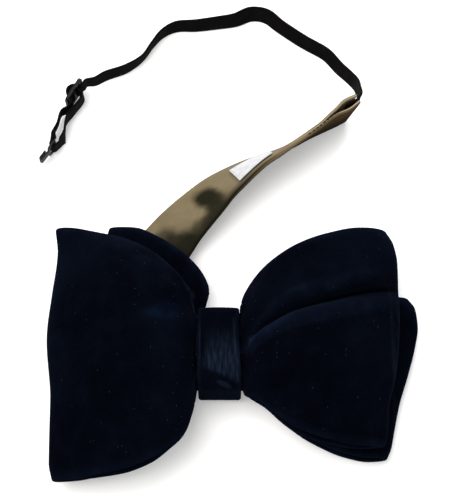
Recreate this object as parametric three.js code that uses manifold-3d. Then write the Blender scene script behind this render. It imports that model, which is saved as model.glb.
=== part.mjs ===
// A pre-tied velvet bow tie of two layers, lying on its back.
// Millimetres. X runs to the right of the bow, Y towards its top edge, Z out of its front.
// The origin is the middle of the knot's back face, which lies on the surface z = 0.

import * as THREE from 'three';
import Module from 'manifold-3d';
import { mergeVertices } from 'three/addons/utils/BufferGeometryUtils.js';

const wasm = await Module();
wasm.setup();

// Cloth thicknesses and the gap that neighbouring pieces keep
const FRONT_WALL = 2.6;
const BACK_WALL = 2.2;
const KNOT_WALL = 2.4;
const BAND_THICK = 2.4;
const LABEL_THICK = 0.6;
const ELASTIC_THICK = 1.0;
const GAP = 0.3;

// The knot is a ring of cloth round the pinched middles
const KNOT_HALF_HEIGHT = 16.6;
const KNOT_FRONT = 23.8;
const KNOT_CORNER = 5;
const KNOT_CROWN = 0.9;
// Its two side edges at the front, from the lower end to the upper end
const KNOT_EDGES = [
  { y: -17, left: -7.6, right: 8.9 },
  { y: -8, left: -7.9, right: 8.6 },
  { y: 0, left: -8.2, right: 8.1 },
  { y: 8, left: -7.9, right: 7.7 },
  { y: 17, left: -7.4, right: 8.4 },
];

// Gathers that run out of the knot and fade into the wings
const GATHER_COUNT = 3;
const GATHER_HEIGHT = 1.1;
const GATHER_FADE = 30;

// How full a ply is between its rims, and how late its upper rim curls
const DOME_POWER = 2.4;
const CURL_POWER = 8;

// The deep fold's widths above and below its line, and the roll below it, as shares of the ply
const CREASE = { above: 0.055, below: 0.035, rollBelow: 0.09, rollWidth: 0.06 };

// The bows, one row for each distance out from the knot's middle.
// top, bottom: Y of the two open rims. crown, topRim, bottomRim: Z of the front ply, at its
// middle and its rims. under: Z of the back ply. lean: how far the upper rim curls back inwards.
// crease: where a deep fold lies across the ply, 0 at the lower rim and 1 at the upper one.
// depth, ridge: how deep that fold is, and how high the roll below it.
const FRONT_LEFT = {
  side: -1,
  foldStart: 55,
  rows: [
    { out: 0, top: 12.4, bottom: -12.4, crown: 18.4, topRim: 18.4, bottomRim: 18.4, under: 14.6, lean: 0 },
    { out: 9, top: 12.6, bottom: -12.6, crown: 18.5, topRim: 18.4, bottomRim: 18.2, under: 14.9, lean: 0 },
    { out: 10.4, top: 17.3, bottom: -23, crown: 20.4, topRim: 19.6, bottomRim: 18.8, under: 15.6, lean: 0.3 },
    { out: 13, top: 24.3, bottom: -31.8, crown: 24.0, topRim: 21.3, bottomRim: 19.4, under: 15.4, lean: 0.2 },
    { out: 18, top: 30, bottom: -37.0, crown: 28.2, topRim: 23.3, bottomRim: 19.9, under: 15.4, lean: 0 },
    { out: 26, top: 36.4, bottom: -42.5, crown: 31.2, topRim: 24.4, bottomRim: 21.2, under: 13.6, lean: 0 },
    { out: 36, top: 42.1, bottom: -46.2, crown: 30.6, topRim: 22.6, bottomRim: 20.8, under: 12.9, lean: 0 },
    { out: 48, top: 46.6, bottom: -47.9, crown: 26.2, topRim: 18.6, bottomRim: 16.8, under: 12.5, lean: 0 },
    { out: 55, top: 49.1, bottom: -48.5, crown: 22.6, topRim: 15.4, bottomRim: 13.6, under: 10.4, lean: 0 },
    { out: 64, top: 51.2, bottom: -48.5, crown: 17.8, topRim: 12.6, bottomRim: 11.4, under: 6.2, lean: 0 },
  ],
  reach: [
    { across: 0, out: 61.6 },
    { across: 0.06, out: 62.8 },
    { across: 0.3, out: 62.9 },
    { across: 0.55, out: 65 },
    { across: 0.72, out: 63.6 },
    { across: 0.9, out: 62 },
    { across: 1, out: 63.2 },
  ],
};

const FRONT_RIGHT = {
  side: 1,
  foldStart: 60,
  rows: [
    { out: 0, top: 12.4, bottom: -12.4, crown: 18.4, topRim: 18.4, bottomRim: 18.4, under: 14.6, lean: 0,
      crease: 0.5, depth: 0, ridge: 0 },
    { out: 9.4, top: 12.6, bottom: -12.6, crown: 18.5, topRim: 18.4, bottomRim: 18.2, under: 14.6, lean: 0,
      crease: 0.53, depth: 0.2, ridge: 0 },
    { out: 11, top: 18.3, bottom: -16.8, crown: 20.6, topRim: 19.6, bottomRim: 17.9, under: 15.0, lean: 1.6,
      crease: 0.45, depth: 0.5, ridge: 0.4 },
    { out: 15, top: 26.4, bottom: -18, crown: 24.2, topRim: 22.0, bottomRim: 17.8, under: 15.2, lean: 0.6,
      crease: 0.51, depth: 4, ridge: 2.2 },
    { out: 22, top: 33.6, bottom: -24.4, crown: 27.6, topRim: 24.4, bottomRim: 19.6, under: 14.4, lean: 0,
      crease: 0.585, depth: 6.4, ridge: 2.3 },
    { out: 31, top: 39.2, bottom: -30.8, crown: 29.0, topRim: 24.8, bottomRim: 21.0, under: 13.6, lean: 0,
      crease: 0.637, depth: 6.4, ridge: 1.9 },
    { out: 43, top: 44.1, bottom: -34.8, crown: 27.6, topRim: 23.8, bottomRim: 20.7, under: 13.1, lean: 0,
      crease: 0.66, depth: 5.4, ridge: 1.5 },
    { out: 56, top: 47.2, bottom: -36.4, crown: 24.0, topRim: 21.6, bottomRim: 18.2, under: 12.3, lean: 0,
      crease: 0.69, depth: 4, ridge: 1 },
    { out: 68, top: 47.8, bottom: -36, crown: 20.4, topRim: 18.4, bottomRim: 15.2, under: 11.4, lean: 0,
      crease: 0.715, depth: 2.6, ridge: 0.5 },
  ],
  reach: [
    { across: 0, out: 62.2 },
    { across: 0.05, out: 63 },
    { across: 0.17, out: 63.8 },
    { across: 0.3, out: 66.4 },
    { across: 0.42, out: 67.9 },
    { across: 0.6, out: 68.8 },
    { across: 0.85, out: 68.6 },
    { across: 0.94, out: 67.4 },
    { across: 1, out: 64.8 },
  ],
};

const BACK_LEFT = {
  side: -1,
  foldStart: 40,
  rows: [
    { out: 0, top: 12.4, bottom: -12.4, crown: 11.2, topRim: 11.2, bottomRim: 11.2, under: 8.0, lean: 0 },
    { out: 9, top: 12.6, bottom: -12.6, crown: 11.2, topRim: 11.2, bottomRim: 11.2, under: 8.0, lean: 0 },
    { out: 9.8, top: 15.6, bottom: -18.6, crown: 11.1, topRim: 11.2, bottomRim: 11.0, under: 8.0, lean: 0.6 },
    { out: 10.8, top: 20.8, bottom: -20.6, crown: 11.0, topRim: 11.3, bottomRim: 10.6, under: 7.9, lean: 5 },
    { out: 12.4, top: 27, bottom: -21.4, crown: 10.7, topRim: 11.4, bottomRim: 10.4, under: 7.8, lean: 8 },
    { out: 15, top: 33.4, bottom: -21.8, crown: 10.3, topRim: 11.2, bottomRim: 10.1, under: 7.6, lean: 7.6 },
    { out: 20, top: 40.4, bottom: -22, crown: 10.0, topRim: 10.7, bottomRim: 9.9, under: 7.3, lean: 6.2 },
    { out: 27, top: 47.2, bottom: -22.2, crown: 9.8, topRim: 10.3, bottomRim: 9.7, under: 7.1, lean: 3.2 },
    { out: 35, top: 51.6, bottom: -22.4, crown: 9.6, topRim: 10.1, bottomRim: 9.6, under: 7.0, lean: 0.6 },
    { out: 46, top: 52.2, bottom: -22.6, crown: 9.5, topRim: 9.8, bottomRim: 9.5, under: 6.9, lean: 0 },
  ],
  reach: [
    { across: 0, out: 48 },
    { across: 0.3, out: 50 },
    { across: 0.7, out: 46.4 },
    { across: 0.93, out: 43.8 },
    { across: 1, out: 42.4 },
  ],
};

const BACK_RIGHT = {
  side: 1,
  foldStart: 66,
  rows: [
    { out: 0, top: 12.4, bottom: -12.4, crown: 11.2, topRim: 11.2, bottomRim: 11.2, under: 8.0, lean: 0 },
    { out: 9.4, top: 12.6, bottom: -12.6, crown: 11.2, topRim: 11.2, bottomRim: 11.2, under: 8.0, lean: 0 },
    { out: 12, top: 12.3, bottom: -15.4, crown: 11.1, topRim: 11.1, bottomRim: 11.2, under: 7.9, lean: 0 },
    { out: 18, top: 15.8, bottom: -19.4, crown: 10.9, topRim: 10.9, bottomRim: 11.2, under: 7.5, lean: 0 },
    { out: 26, top: 18.8, bottom: -25.9, crown: 10.6, topRim: 10.6, bottomRim: 11.0, under: 6.8, lean: 0 },
    { out: 38, top: 21.6, bottom: -33.1, crown: 10.1, topRim: 10.1, bottomRim: 10.4, under: 4.6, lean: 0 },
    { out: 52, top: 22.8, bottom: -37.5, crown: 9.4, topRim: 9.4, bottomRim: 9.6, under: 2.6, lean: 0 },
    { out: 66, top: 24.0, bottom: -39.2, crown: 8.6, topRim: 8.6, bottomRim: 8.8, under: 1.4, lean: 0 },
    { out: 77, top: 23.6, bottom: -39.2, crown: 8.0, topRim: 8.0, bottomRim: 8.2, under: 1.2, lean: 0 },
  ],
  reach: [
    { across: 0, out: 63.6 },
    { across: 0.06, out: 65.2 },
    { across: 0.16, out: 66.5 },
    { across: 0.34, out: 69 },
    { across: 0.52, out: 72.6 },
    { across: 0.7, out: 75.7 },
    { across: 0.83, out: 77.1 },
    { across: 0.94, out: 76.4 },
    { across: 1, out: 73.8 },
  ],
};

// The neckband is two plies sewn together. It runs through the knot flat, then folds under itself
// BAND_FOLD_BACK before the first row of BAND_ROUTE.
const BAND_WIDTH = 22;
const BAND_FOLD_RADIUS = (BAND_THICK + GAP) / 2;
const BAND_KNOT_Z = KNOT_WALL + GAP + BAND_THICK / 2;
const BAND_SEAM_GROOVE = 0.4;
const BAND_LIP = 0.5;
const BAND_SEWN = 2.2;
const BAND_FOLD_BACK = 32;
// After the fold the rings turn square again: how far on, and how much of their lean is left
const BAND_FOLD_EASE = [
  { place: 0.3, lean: 0.7 },
  { place: 0.62, lean: 0.2 },
];
const BAND_THROUGH_KNOT = [
  { x: 24, y: -0.4 },
  { x: 9, y: 0 },
  { x: -8, y: 0.3 },
  { x: -17, y: 1.4 },
  { x: -26, y: 3.8 },
];
// After the fold: the place of the lower edge, and the turn of the band about it, 0 flat on the
// surface and 90 on edge. part: how far the two plies stand apart. slant: how far the raised
// edge runs ahead of the lower one.
const BAND_ROUTE = [
  { x: -38.1, y: 44.8, turn: 0, part: 0, slant: 0 },
  { x: -30.1, y: 53.9, turn: 8, part: 0, slant: 0 },
  { x: -22.8, y: 62, turn: 19, part: 0, slant: 0 },
  { x: -14.2, y: 69.9, turn: 28, part: 0, slant: 0 },
  { x: -5.2, y: 76.9, turn: 37.5, part: 0, slant: 0 },
  { x: 3.4, y: 82.1, turn: 47, part: 0, slant: 0 },
  { x: 12.2, y: 86.1, turn: 55.5, part: 0, slant: 0 },
  { x: 21, y: 89.2, turn: 63.5, part: 0, slant: 0 },
  { x: 29.2, y: 92.6, turn: 70.5, part: 0, slant: 0 },
  { x: 36.6, y: 96.3, turn: 75, part: 0, slant: 1 },
  { x: 43.3, y: 99.6, turn: 81, part: 0.8, slant: 2 },
  { x: 47.9, y: 101.9, turn: 83.5, part: 3, slant: 3 },
  { x: 51.6, y: 104, turn: 84, part: 1.8, slant: 3.8 },
];

// The label on the band's inner face, between two rows of the route
const LABEL = { fromRow: 4.92, toRow: 6.75, low: 6.4, high: 20 };

// The elastic strap: the middle of its width, its turn, and the height of its lower edge
const ELASTIC_WIDTH = 6.5;
const ELASTIC_ROUTE = [
  { x: 51.3, y: 101.7, turn: 84, lift: 14.6 },
  { x: 55, y: 103.7, turn: 84, lift: 14.5 },
  { x: 56.9, y: 106.5, turn: 85, lift: 13.2 },
  { x: 56.9, y: 111.2, turn: 83, lift: 9.8 },
  { x: 56.2, y: 115.8, turn: 78, lift: 6 },
  { x: 54.3, y: 119.9, turn: 70, lift: 3 },
  { x: 49.6, y: 126, turn: 63, lift: 0.7 },
  { x: 44.7, y: 132.2, turn: 60, lift: 0.1 },
  { x: 35.3, y: 138.3, turn: 57, lift: 0 },
  { x: 26, y: 145.1, turn: 56, lift: 0 },
  { x: 19.8, y: 150.4, turn: 44, lift: 0 },
  { x: 13.6, y: 151.4, turn: 40, lift: 0 },
  { x: 6.8, y: 148.4, turn: 54, lift: 0 },
  { x: 0, y: 147.1, turn: 60, lift: 0 },
  { x: -9.6, y: 145.7, turn: 66, lift: 0 },
  { x: -17.8, y: 145.1, turn: 74, lift: 0 },
  { x: -23.4, y: 142, turn: 84, lift: 0 },
  { x: -27.6, y: 136.8, turn: 92, lift: 0 },
  { x: -31.6, y: 130.7, turn: 94, lift: 0 },
  { x: -38.2, y: 125.8, turn: 84, lift: 0 },
  { x: -46.6, y: 122.2, turn: 80, lift: 0.6 },
  { x: -51, y: 119.4, turn: 84, lift: 1.2 },
];

// The slider stands on edge. A place in it is given along the strap and out of its plane.
const SLIDER = { x: -59.3, y: 113.6, heading: -119, turn: 88, width: 9.6, length: 11.6, thick: 1.2 };
const SLIDER_BAR = 1.2;
const SLIDER_STRAP_IN = [
  { along: -6.6, out: -1.75 },
  { along: -4.7, out: -1.6 },
  { along: -3.3, out: -0.75 },
  { along: -2.8, out: 0.6 },
  { along: -1.9, out: 2 },
  { along: 0, out: 2.8 },
  { along: 1.9, out: 2 },
  { along: 2.8, out: 0.6 },
  { along: 3.3, out: -0.75 },
  { along: 4.7, out: -1.6 },
  { along: 7, out: -1.5 },
];
const SLIDER_STRAP_END = [
  { along: 7.4, out: -3.6 },
  { along: 4.8, out: -3.9 },
  { along: 2, out: -4.2 },
  { along: -0.3, out: -3.9 },
  { along: -1.3, out: -2.9 },
  { along: -1.5, out: -1.6 },
  { along: -1.45, out: -0.7 },
  { along: -1.45, out: 0.1 },
  { along: -0.9, out: 1.1 },
  { along: 0.1, out: 1.4 },
  { along: 1.05, out: 0.95 },
  { along: 1.4, out: 0.1 },
];
// The strap's loop between the slider and the hook, out on the left and back on the right
const LOOP_OUTWARD = [
  { x: -64.3, y: 104.9, turn: 96 },
  { x: -65.9, y: 99.5, turn: 98 },
  { x: -67.9, y: 94.9, turn: 98 },
];
const LOOP_RETURN = [
  { x: -63.5, y: 92.9, turn: 78 },
  { x: -62.8, y: 96.6, turn: 96 },
  { x: -62.6, y: 100.3, turn: 98 },
  { x: -61, y: 104, turn: 84 },
];

// The hook stands on edge at the end of the strap's loop
const HOOK = { x: -67, y: 90.5, heading: -124, turn: 92, length: 8.6, thick: 0.7 };
const HOOK_EYE = { width: 9.2, near: -1.2, far: 3.6, slotNear: 0.3, slotFar: 2.5, slotWidth: 7.3 };
const HOOK_TONGUE = { width: 3.6, reach: 4.4, gap: 0.4, root: 0.6 };
const HOOK_STRAP = [
  { along: -4.2, out: 2.6 },
  { along: -2.2, out: 2.2 },
  { along: -0.5, out: 1.45 },
  { along: 0.8, out: 0.95 },
  { along: 1.32, out: 0 },
  { along: 0.8, out: -0.95 },
  { along: -0.6, out: -1.3 },
  { along: -2.4, out: -1.6 },
];

// The eye that the hook fastens to, sewn under the band's short end
const CATCH = { x: 16.5, y: -2.4, length: 9, width: 12, thick: 0.9, rim: 1.2 };
const CATCH_SLOT = { length: 3.4, width: 8 };

// How much the corners of the fittings are cut off
const CORNER_CUT = 1;

// How finely the cloth is divided
const FRONT_ACROSS = 18;
const BACK_ACROSS = 10;
const KNOT_ACROSS = 6;
const LONGEST_STEP = 6.5;
const FOLD_STEPS = 4;
const BAND_KNOT_STEPS = 8;
const BAND_FOLD_STEPS = 6;
const BAND_STEPS_PER_ROW = 2;
const LABEL_STEPS = 8;
const ELASTIC_STEPS_PER_MARK = 2;

// How far the strap and the fittings stay above the surface
const STRAP_CLEARANCE = 0.1;
const FITTING_CLEARANCE = 0.05;

// How far a rounded rim stands out past the middle of its wall, as a share of the wall
const RIM_SHARE = 0.42;

// Colours of the cloth and the fittings
const FINISH = {
  velvet: { color: 0x0a0e1c, roughness: 0.95, metalness: 0 },
  satin: { color: 0x7d7157, roughness: 0.45, metalness: 0 },
  label: { color: 0xe7e8eb, roughness: 0.8, metalness: 0 },
  elastic: { color: 0x141214, roughness: 0.85, metalness: 0 },
  coated_metal: { color: 0x121214, roughness: 0.35, metalness: 0.6 },
};

const UP = new THREE.Vector3(0, 0, 1);
const mix = THREE.MathUtils.lerp;
const radians = THREE.MathUtils.degToRad;
const smooth = THREE.MathUtils.smoothstep;

// A row of a table at any value of its key column, with no overshoot between rows
function rowAt(rows, key, value) {
  const clamped = THREE.MathUtils.clamp(value, rows[0][key], rows.at(-1)[key]);
  const found = rows.findIndex((row, i) => i > 0 && clamped <= row[key]);
  const k = found - 1;
  const step = i => rows[i + 1][key] - rows[i][key];
  const span = step(k);
  const f = (clamped - rows[k][key]) / span;
  const slope = (i, name) => {
    if (i === 0 || i === rows.length - 1) return (rows[k + 1][name] - rows[k][name]) / span;
    const before = (rows[i][name] - rows[i - 1][name]) / step(i - 1);
    const after = (rows[i + 1][name] - rows[i][name]) / step(i);
    return before * after <= 0 ? 0 : 2 * before * after / (before + after);
  };
  const result = {};
  for (const name of Object.keys(rows[0])) {
    const a = rows[k][name];
    const b = rows[k + 1][name];
    const rise = f * f * (3 - 2 * f);
    const ease = span * (f - 1) * (f - 1) * f * slope(k, name);
    const settle = span * (f - 1) * f * f * slope(k + 1, name);
    result[name] = mix(a, b, rise) + ease + settle;
  }
  return result;
}

// A closed mesh through rings of points. An open run is capped across each ring, from its
// first half of points to its second half.
function loft(rings, closed) {
  const around = rings[0].length;
  const index = [];
  const quad = (a, b, c, d) => index.push(a, b, c, a, c, d);
  const joints = closed ? rings.length : rings.length - 1;
  for (let i = 0; i < joints; i++) {
    const here = i * around;
    const next = ((i + 1) % rings.length) * around;
    for (let k = 0; k < around; k++) {
      const l = (k + 1) % around;
      quad(here + k, next + k, next + l, here + l);
    }
  }
  if (!closed) {
    const end = (rings.length - 1) * around;
    for (let k = 0; k < around / 2 - 1; k++) {
      quad(k, k + 1, around - 2 - k, around - 1 - k);
      quad(end + k + 1, end + k, end + around - 1 - k, end + around - 2 - k);
    }
  }
  const geometry = new THREE.BufferGeometry().setFromPoints(rings.flat());
  geometry.setIndex(index);
  return facingOut(geometry);
}

// Turns every face round if the closed mesh is inside out
function facingOut(geometry) {
  const index = geometry.index.array;
  const position = geometry.attributes.position;
  const corner = k => new THREE.Vector3().fromBufferAttribute(position, index[k]);
  let volume = 0;
  for (let k = 0; k < index.length; k += 3) {
    volume += corner(k).dot(corner(k + 1).cross(corner(k + 2)));
  }
  if (volume < 0) geometry.setIndex([...index].reverse());
  return geometry;
}

// Gives a sheet of points its cloth thickness. sheet[i][j] runs round the loop with i and
// from one open rim to the other with j. The rims are rounded over.
function thicken(sheet, wall) {
  const count = sheet.length;
  const last = sheet[0].length - 1;
  return sheet.map((line, i) => {
    const before = sheet[(i - 1 + count) % count];
    const after = sheet[(i + 1) % count];
    const across = j => line[Math.min(j + 1, last)].clone().sub(line[Math.max(j - 1, 0)]);
    const shift = (j, amount) => {
      const along = after[j].clone().sub(before[j]);
      return line[j].clone().addScaledVector(along.cross(across(j)).normalize(), amount);
    };
    const lip = wall * RIM_SHARE;
    const rim = (j, sign) => line[j].clone().addScaledVector(across(j).normalize(), sign * lip);
    return [
      rim(0, -1),
      ...line.map((_, j) => shift(j, wall / 2)),
      rim(last, 1),
      ...line.map((_, j) => shift(last - j, -wall / 2)),
    ];
  });
}

// One point of a wing's cloth. ply is 1 on the front ply and -1 on the back one.
function wingPoint(wing, out, close, ply, across) {
  const row = rowAt(wing.rows, 'out', out);
  const full = wing.rows.at(-1).out;
  const reach = rowAt(wing.reach, 'across', across).out;
  const stretch = 1 + (reach / full - 1) * (out / full) ** 2;
  const dome = 1 - Math.abs(2 * across - 1) ** DOME_POWER;
  const rims = mix(row.bottomRim, row.topRim, across);
  let front = rims + (row.crown - (row.topRim + row.bottomRim) / 2) * dome;
  if (row.depth) {
    const off = across - row.crease;
    const width = off > 0 ? CREASE.above : CREASE.below;
    const offRoll = (off + CREASE.rollBelow) / CREASE.rollWidth;
    front += row.ridge * Math.exp(-(offRoll ** 2)) - row.depth * Math.exp(-((off / width) ** 2));
  }
  const middle = (front + row.under) / 2;
  const half = (front - row.under) / 2;
  const fade = 1 - smooth(out, 0, GATHER_FADE);
  const gather = GATHER_HEIGHT * fade * Math.sin(Math.PI * 2 * GATHER_COUNT * across);
  const curl = row.lean * across ** CURL_POWER;
  return new THREE.Vector3(
    wing.side * (out * stretch - curl),
    mix(row.bottom, row.top, across),
    middle + ply * half * close + gather,
  );
}

// The stations of one ply of a wing from the knot out to the fold: how far out, and how much
// of the gap between the plies is left there
function wingStations(wing) {
  const stations = [];
  const full = wing.rows.at(-1).out;
  const flat = wing.rows.filter(row => row.out < wing.foldStart).map(row => row.out);
  flat.push(wing.foldStart);
  for (let i = 0; i + 1 < flat.length; i++) {
    const steps = Math.ceil((flat[i + 1] - flat[i]) / LONGEST_STEP);
    for (let k = 0; k < steps; k++) {
      stations.push({ out: mix(flat[i], flat[i + 1], k / steps), close: 1 });
    }
  }
  for (let k = 0; k < FOLD_STEPS; k++) {
    const angle = Math.PI / 2 * k / FOLD_STEPS;
    stations.push({ out: mix(wing.foldStart, full, Math.sin(angle)), close: Math.cos(angle) });
  }
  return stations;
}

// A bow is one strip of cloth: front ply out to the left, round the fold, back ply across to
// the right, round the fold and back
function bowGeometry(left, right, wall, acrossCount) {
  const line = (wing, station, ply) => {
    const points = [];
    for (let j = 0; j <= acrossCount; j++) {
      points.push(wingPoint(wing, station.out, station.close, ply, j / acrossCount));
    }
    return points;
  };
  const loop = (wing, firstPly) => {
    const stations = wingStations(wing);
    const tip = { out: wing.rows.at(-1).out, close: 0 };
    return [
      ...stations.map(station => line(wing, station, firstPly)),
      line(wing, tip, firstPly),
      ...stations.slice(1).reverse().map(station => line(wing, station, -firstPly)),
    ];
  };
  const sheet = [...loop(left, 1), ...loop(right, -1)];
  return loft(thicken(sheet, wall), true);
}

// The knot's path seen from its side: a rounded rectangle with its flat back at z = 0
function knotGeometry() {
  const inset = KNOT_WALL / 2;
  const halfY = KNOT_HALF_HEIGHT - inset;
  const low = inset;
  const high = KNOT_FRONT - inset;
  const outline = new THREE.Path();
  outline.moveTo(0, low);
  outline.lineTo(halfY - KNOT_CORNER, low);
  outline.absarc(halfY - KNOT_CORNER, low + KNOT_CORNER, KNOT_CORNER, -Math.PI / 2, 0);
  outline.absarc(halfY - KNOT_CORNER, high - KNOT_CORNER, KNOT_CORNER, 0, Math.PI / 2);
  outline.lineTo(0, high);
  outline.lineTo(KNOT_CORNER - halfY, high);
  outline.absarc(KNOT_CORNER - halfY, high - KNOT_CORNER, KNOT_CORNER, Math.PI / 2, Math.PI);
  outline.absarc(KNOT_CORNER - halfY, low + KNOT_CORNER, KNOT_CORNER, Math.PI, Math.PI * 1.5);
  const path = outline.getPoints(2);
  const lip = KNOT_WALL * RIM_SHARE;
  const middle = (low + high) / 2;
  const sheet = path.map(({ x: y, y: z }) => {
    const edges = rowAt(KNOT_EDGES, 'y', y);
    const front = smooth(z, middle, high);
    const points = [];
    for (let j = 0; j <= KNOT_ACROSS; j++) {
      const across = j / KNOT_ACROSS;
      const crown = KNOT_CROWN * front * (1 - (2 * across - 1) ** 2);
      points.push(new THREE.Vector3(mix(edges.left + lip, edges.right - lip, across), y, z + crown));
    }
    return points;
  });
  return loft(thicken(sheet, KNOT_WALL), true);
}

// A strip's section across its width, from its low edge to its high one, with square edges
function stripRing(centre, across, normal, width, thick) {
  const at = (u, v) => centre.clone()
    .addScaledVector(across, u * width / 2)
    .addScaledVector(normal, v * thick / 2);
  return [at(-1, -1), at(1, -1), at(1, 1), at(-1, 1)];
}

// The plan direction to the right of a heading, tipped up by a turn
function tippedAcross(heading, turn) {
  const side = new THREE.Vector3(heading.y, -heading.x, 0).normalize();
  return side.multiplyScalar(Math.cos(radians(turn))).addScaledVector(UP, Math.sin(radians(turn)));
}

// The neckband's section: two plies that part from the raised edge down. Points run round the
// outside of both plies from one raised edge to the other, then back down and up the inside.
function bandSection(part) {
  const half = BAND_THICK / 2;
  const open = smooth(part, 0, 2);
  const valley = mix(BAND_WIDTH - BAND_SEAM_GROOVE, BAND_SEWN, open);
  const inner = f => mix(valley, BAND_WIDTH - BAND_LIP / 2, f);
  const spread = u => part / 2 * smooth(u, 0, BAND_WIDTH);
  const outside = [BAND_WIDTH - BAND_LIP, BAND_WIDTH / 2, BAND_LIP];
  const inside = [1, 0.5];
  const ply = sign => ({
    outer: outside.map(u => ({ u, v: sign * (half + spread(u)) })),
    tip: { u: BAND_WIDTH, v: sign * (half * 0.55 + spread(BAND_WIDTH)) },
    inner: inside.map(f => ({ u: inner(f), v: sign * (0.1 * f + spread(inner(f))) })),
  });
  const near = ply(1);
  const far = ply(-1);
  return [
    near.tip, ...near.outer, { u: 0, v: 0.4 }, { u: 0, v: -0.4 }, ...far.outer.reverse(), far.tip,
    ...far.inner, { u: valley, v: -0.05 }, { u: valley, v: 0.05 }, ...near.inner.reverse(),
  ];
}

// The plan unit vector of a step between two places
function planHeading(from, to) {
  return new THREE.Vector3(to.x - from.x, to.y - from.y, 0).normalize();
}

// One station of the band's route, at any place between its rows
const routeRows = BAND_ROUTE.map((row, place) => ({ ...row, place }));
const routeCurve = new THREE.CatmullRomCurve3(routeRows.map(row => new THREE.Vector3(row.x, row.y, 0)));

function routeStation(place) {
  const row = rowAt(routeRows, 'place', place);
  const t = place / (routeRows.length - 1);
  const heading = routeCurve.getTangent(t);
  const across = tippedAcross(heading, row.turn);
  return { ...row, edge: routeCurve.getPoint(t), heading, across, normal: across.clone().cross(heading) };
}

// A ring of the band at a station of its route, standing on its lowest point
function bandRing({ edge, heading, across, normal, part, slant }) {
  const ring = bandSection(part).map(({ u, v }) => edge.clone()
    .addScaledVector(across, u)
    .addScaledVector(normal, v)
    .addScaledVector(heading, slant * u / BAND_WIDTH));
  const lowest = Math.min(...ring.map(point => point.z));
  ring.forEach(point => point.setZ(point.z - lowest));
  return ring;
}

function bandRouteRings(perRow) {
  const steps = (routeRows.length - 1) * perRow;
  return Array.from({ length: steps + 1 }, (_, i) => bandRing(routeStation(i / perRow)));
}

// The rings of the band through the knot, and of the fold that turns it under itself. The fold
// is a half turn round a line that halves the angle between the two runs, so the rings lean
// over to lie along that line.
function bandFoldRings() {
  const [first, second] = BAND_ROUTE;
  const out = planHeading(first, second);
  const corner = new THREE.Vector3(first.x, first.y, BAND_KNOT_Z)
    .addScaledVector(tippedAcross(out, 0), BAND_WIDTH / 2)
    .addScaledVector(out, -BAND_FOLD_BACK);
  const start = BAND_THROUGH_KNOT.at(-1);
  const into = planHeading(start, corner);
  const intoAcross = tippedAcross(into, 0).negate();
  const crease = into.clone().add(out).normalize();
  const away = new THREE.Vector3(crease.y, -crease.x, 0);
  if (away.dot(into) < 0) away.negate();
  const lean = -intoAcross.dot(away) / into.dot(away);
  const halfTurn = Math.PI * BAND_FOLD_RADIUS;
  const flatRun = Math.hypot(corner.x - start.x, corner.y - start.y);

  const foldRing = (along, leaning) => bandSection(0).map(({ u, v }) => {
    const offset = u - BAND_WIDTH / 2;
    const flat = corner.clone()
      .addScaledVector(into, along + leaning * lean * offset)
      .addScaledVector(intoAcross, offset);
    const past = Math.max(flat.clone().sub(corner).dot(away) + halfTurn, 0);
    const angle = Math.min(past / BAND_FOLD_RADIUS, Math.PI);
    const beyond = Math.max(past - halfTurn, 0);
    return flat
      .addScaledVector(away, BAND_FOLD_RADIUS * Math.sin(angle) - beyond - past - v * Math.sin(angle))
      .addScaledVector(UP, -BAND_FOLD_RADIUS * (1 - Math.cos(angle)) - v * Math.cos(angle));
  });

  const rings = [];
  const places = BAND_THROUGH_KNOT.map(({ x, y }) => new THREE.Vector3(x, y, BAND_KNOT_Z));
  const curve = new THREE.CatmullRomCurve3(places);
  for (let i = 0; i < BAND_KNOT_STEPS; i++) {
    const across = tippedAcross(curve.getTangent(i / BAND_KNOT_STEPS), 0).negate();
    const edge = curve.getPoint(i / BAND_KNOT_STEPS).addScaledVector(across, -BAND_WIDTH / 2);
    const at = ({ u, v }) => edge.clone().addScaledVector(across, u).addScaledVector(UP, -v);
    rings.push(bandSection(0).map(at));
  }
  rings.push(foldRing(-flatRun, 0));
  const foldStart = -halfTurn / into.dot(away);
  rings.push(foldRing(mix(-flatRun, foldStart, 0.5), 0.5));
  for (let k = 0; k <= BAND_FOLD_STEPS; k++) {
    rings.push(foldRing(mix(foldStart, 0, k / BAND_FOLD_STEPS), 1));
  }
  BAND_FOLD_EASE.forEach(({ place, lean: left }) => rings.push(foldRing(BAND_FOLD_BACK * place, left)));
  return rings;
}

function neckbandGeometry() {
  return loft([...bandFoldRings(), ...bandRouteRings(BAND_STEPS_PER_ROW)], false);
}

// The label is a thin pad that follows the band's inner face
function labelGeometry() {
  const near = BAND_THICK / 2 + GAP;
  const rings = [];
  for (let i = 0; i <= LABEL_STEPS; i++) {
    const station = routeStation(mix(LABEL.fromRow, LABEL.toRow, i / LABEL_STEPS));
    const lift = BAND_THICK / 2 * Math.cos(radians(station.turn));
    const at = (u, v) => station.edge.clone()
      .addScaledVector(station.across, u)
      .addScaledVector(station.normal, v)
      .addScaledVector(UP, lift);
    rings.push([
      at(LABEL.low, near), at(LABEL.high, near),
      at(LABEL.high, near + LABEL_THICK), at(LABEL.low, near + LABEL_THICK),
    ]);
  }
  return loft(rings, false);
}

// The frame of a fitting that stands on edge: forward along the strap, across the strap's
// width and out of the fitting's plane
function standingFrame({ x, y, heading, turn, thick }, width) {
  const forward = new THREE.Vector3(Math.cos(radians(heading)), Math.sin(radians(heading)), 0);
  const across = tippedAcross(forward, turn);
  const outward = forward.clone().cross(across);
  const tilt = radians(turn);
  const height = (width * Math.sin(tilt) + thick * Math.abs(Math.cos(tilt))) / 2;
  const centre = new THREE.Vector3(x, y, height + FITTING_CLEARANCE);
  const at = (along, out) => centre.clone().addScaledVector(forward, along).addScaledVector(outward, out);
  const matrix = new THREE.Matrix4().makeBasis(forward, across, outward).setPosition(centre);
  return { across, centre, at, matrix };
}

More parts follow.
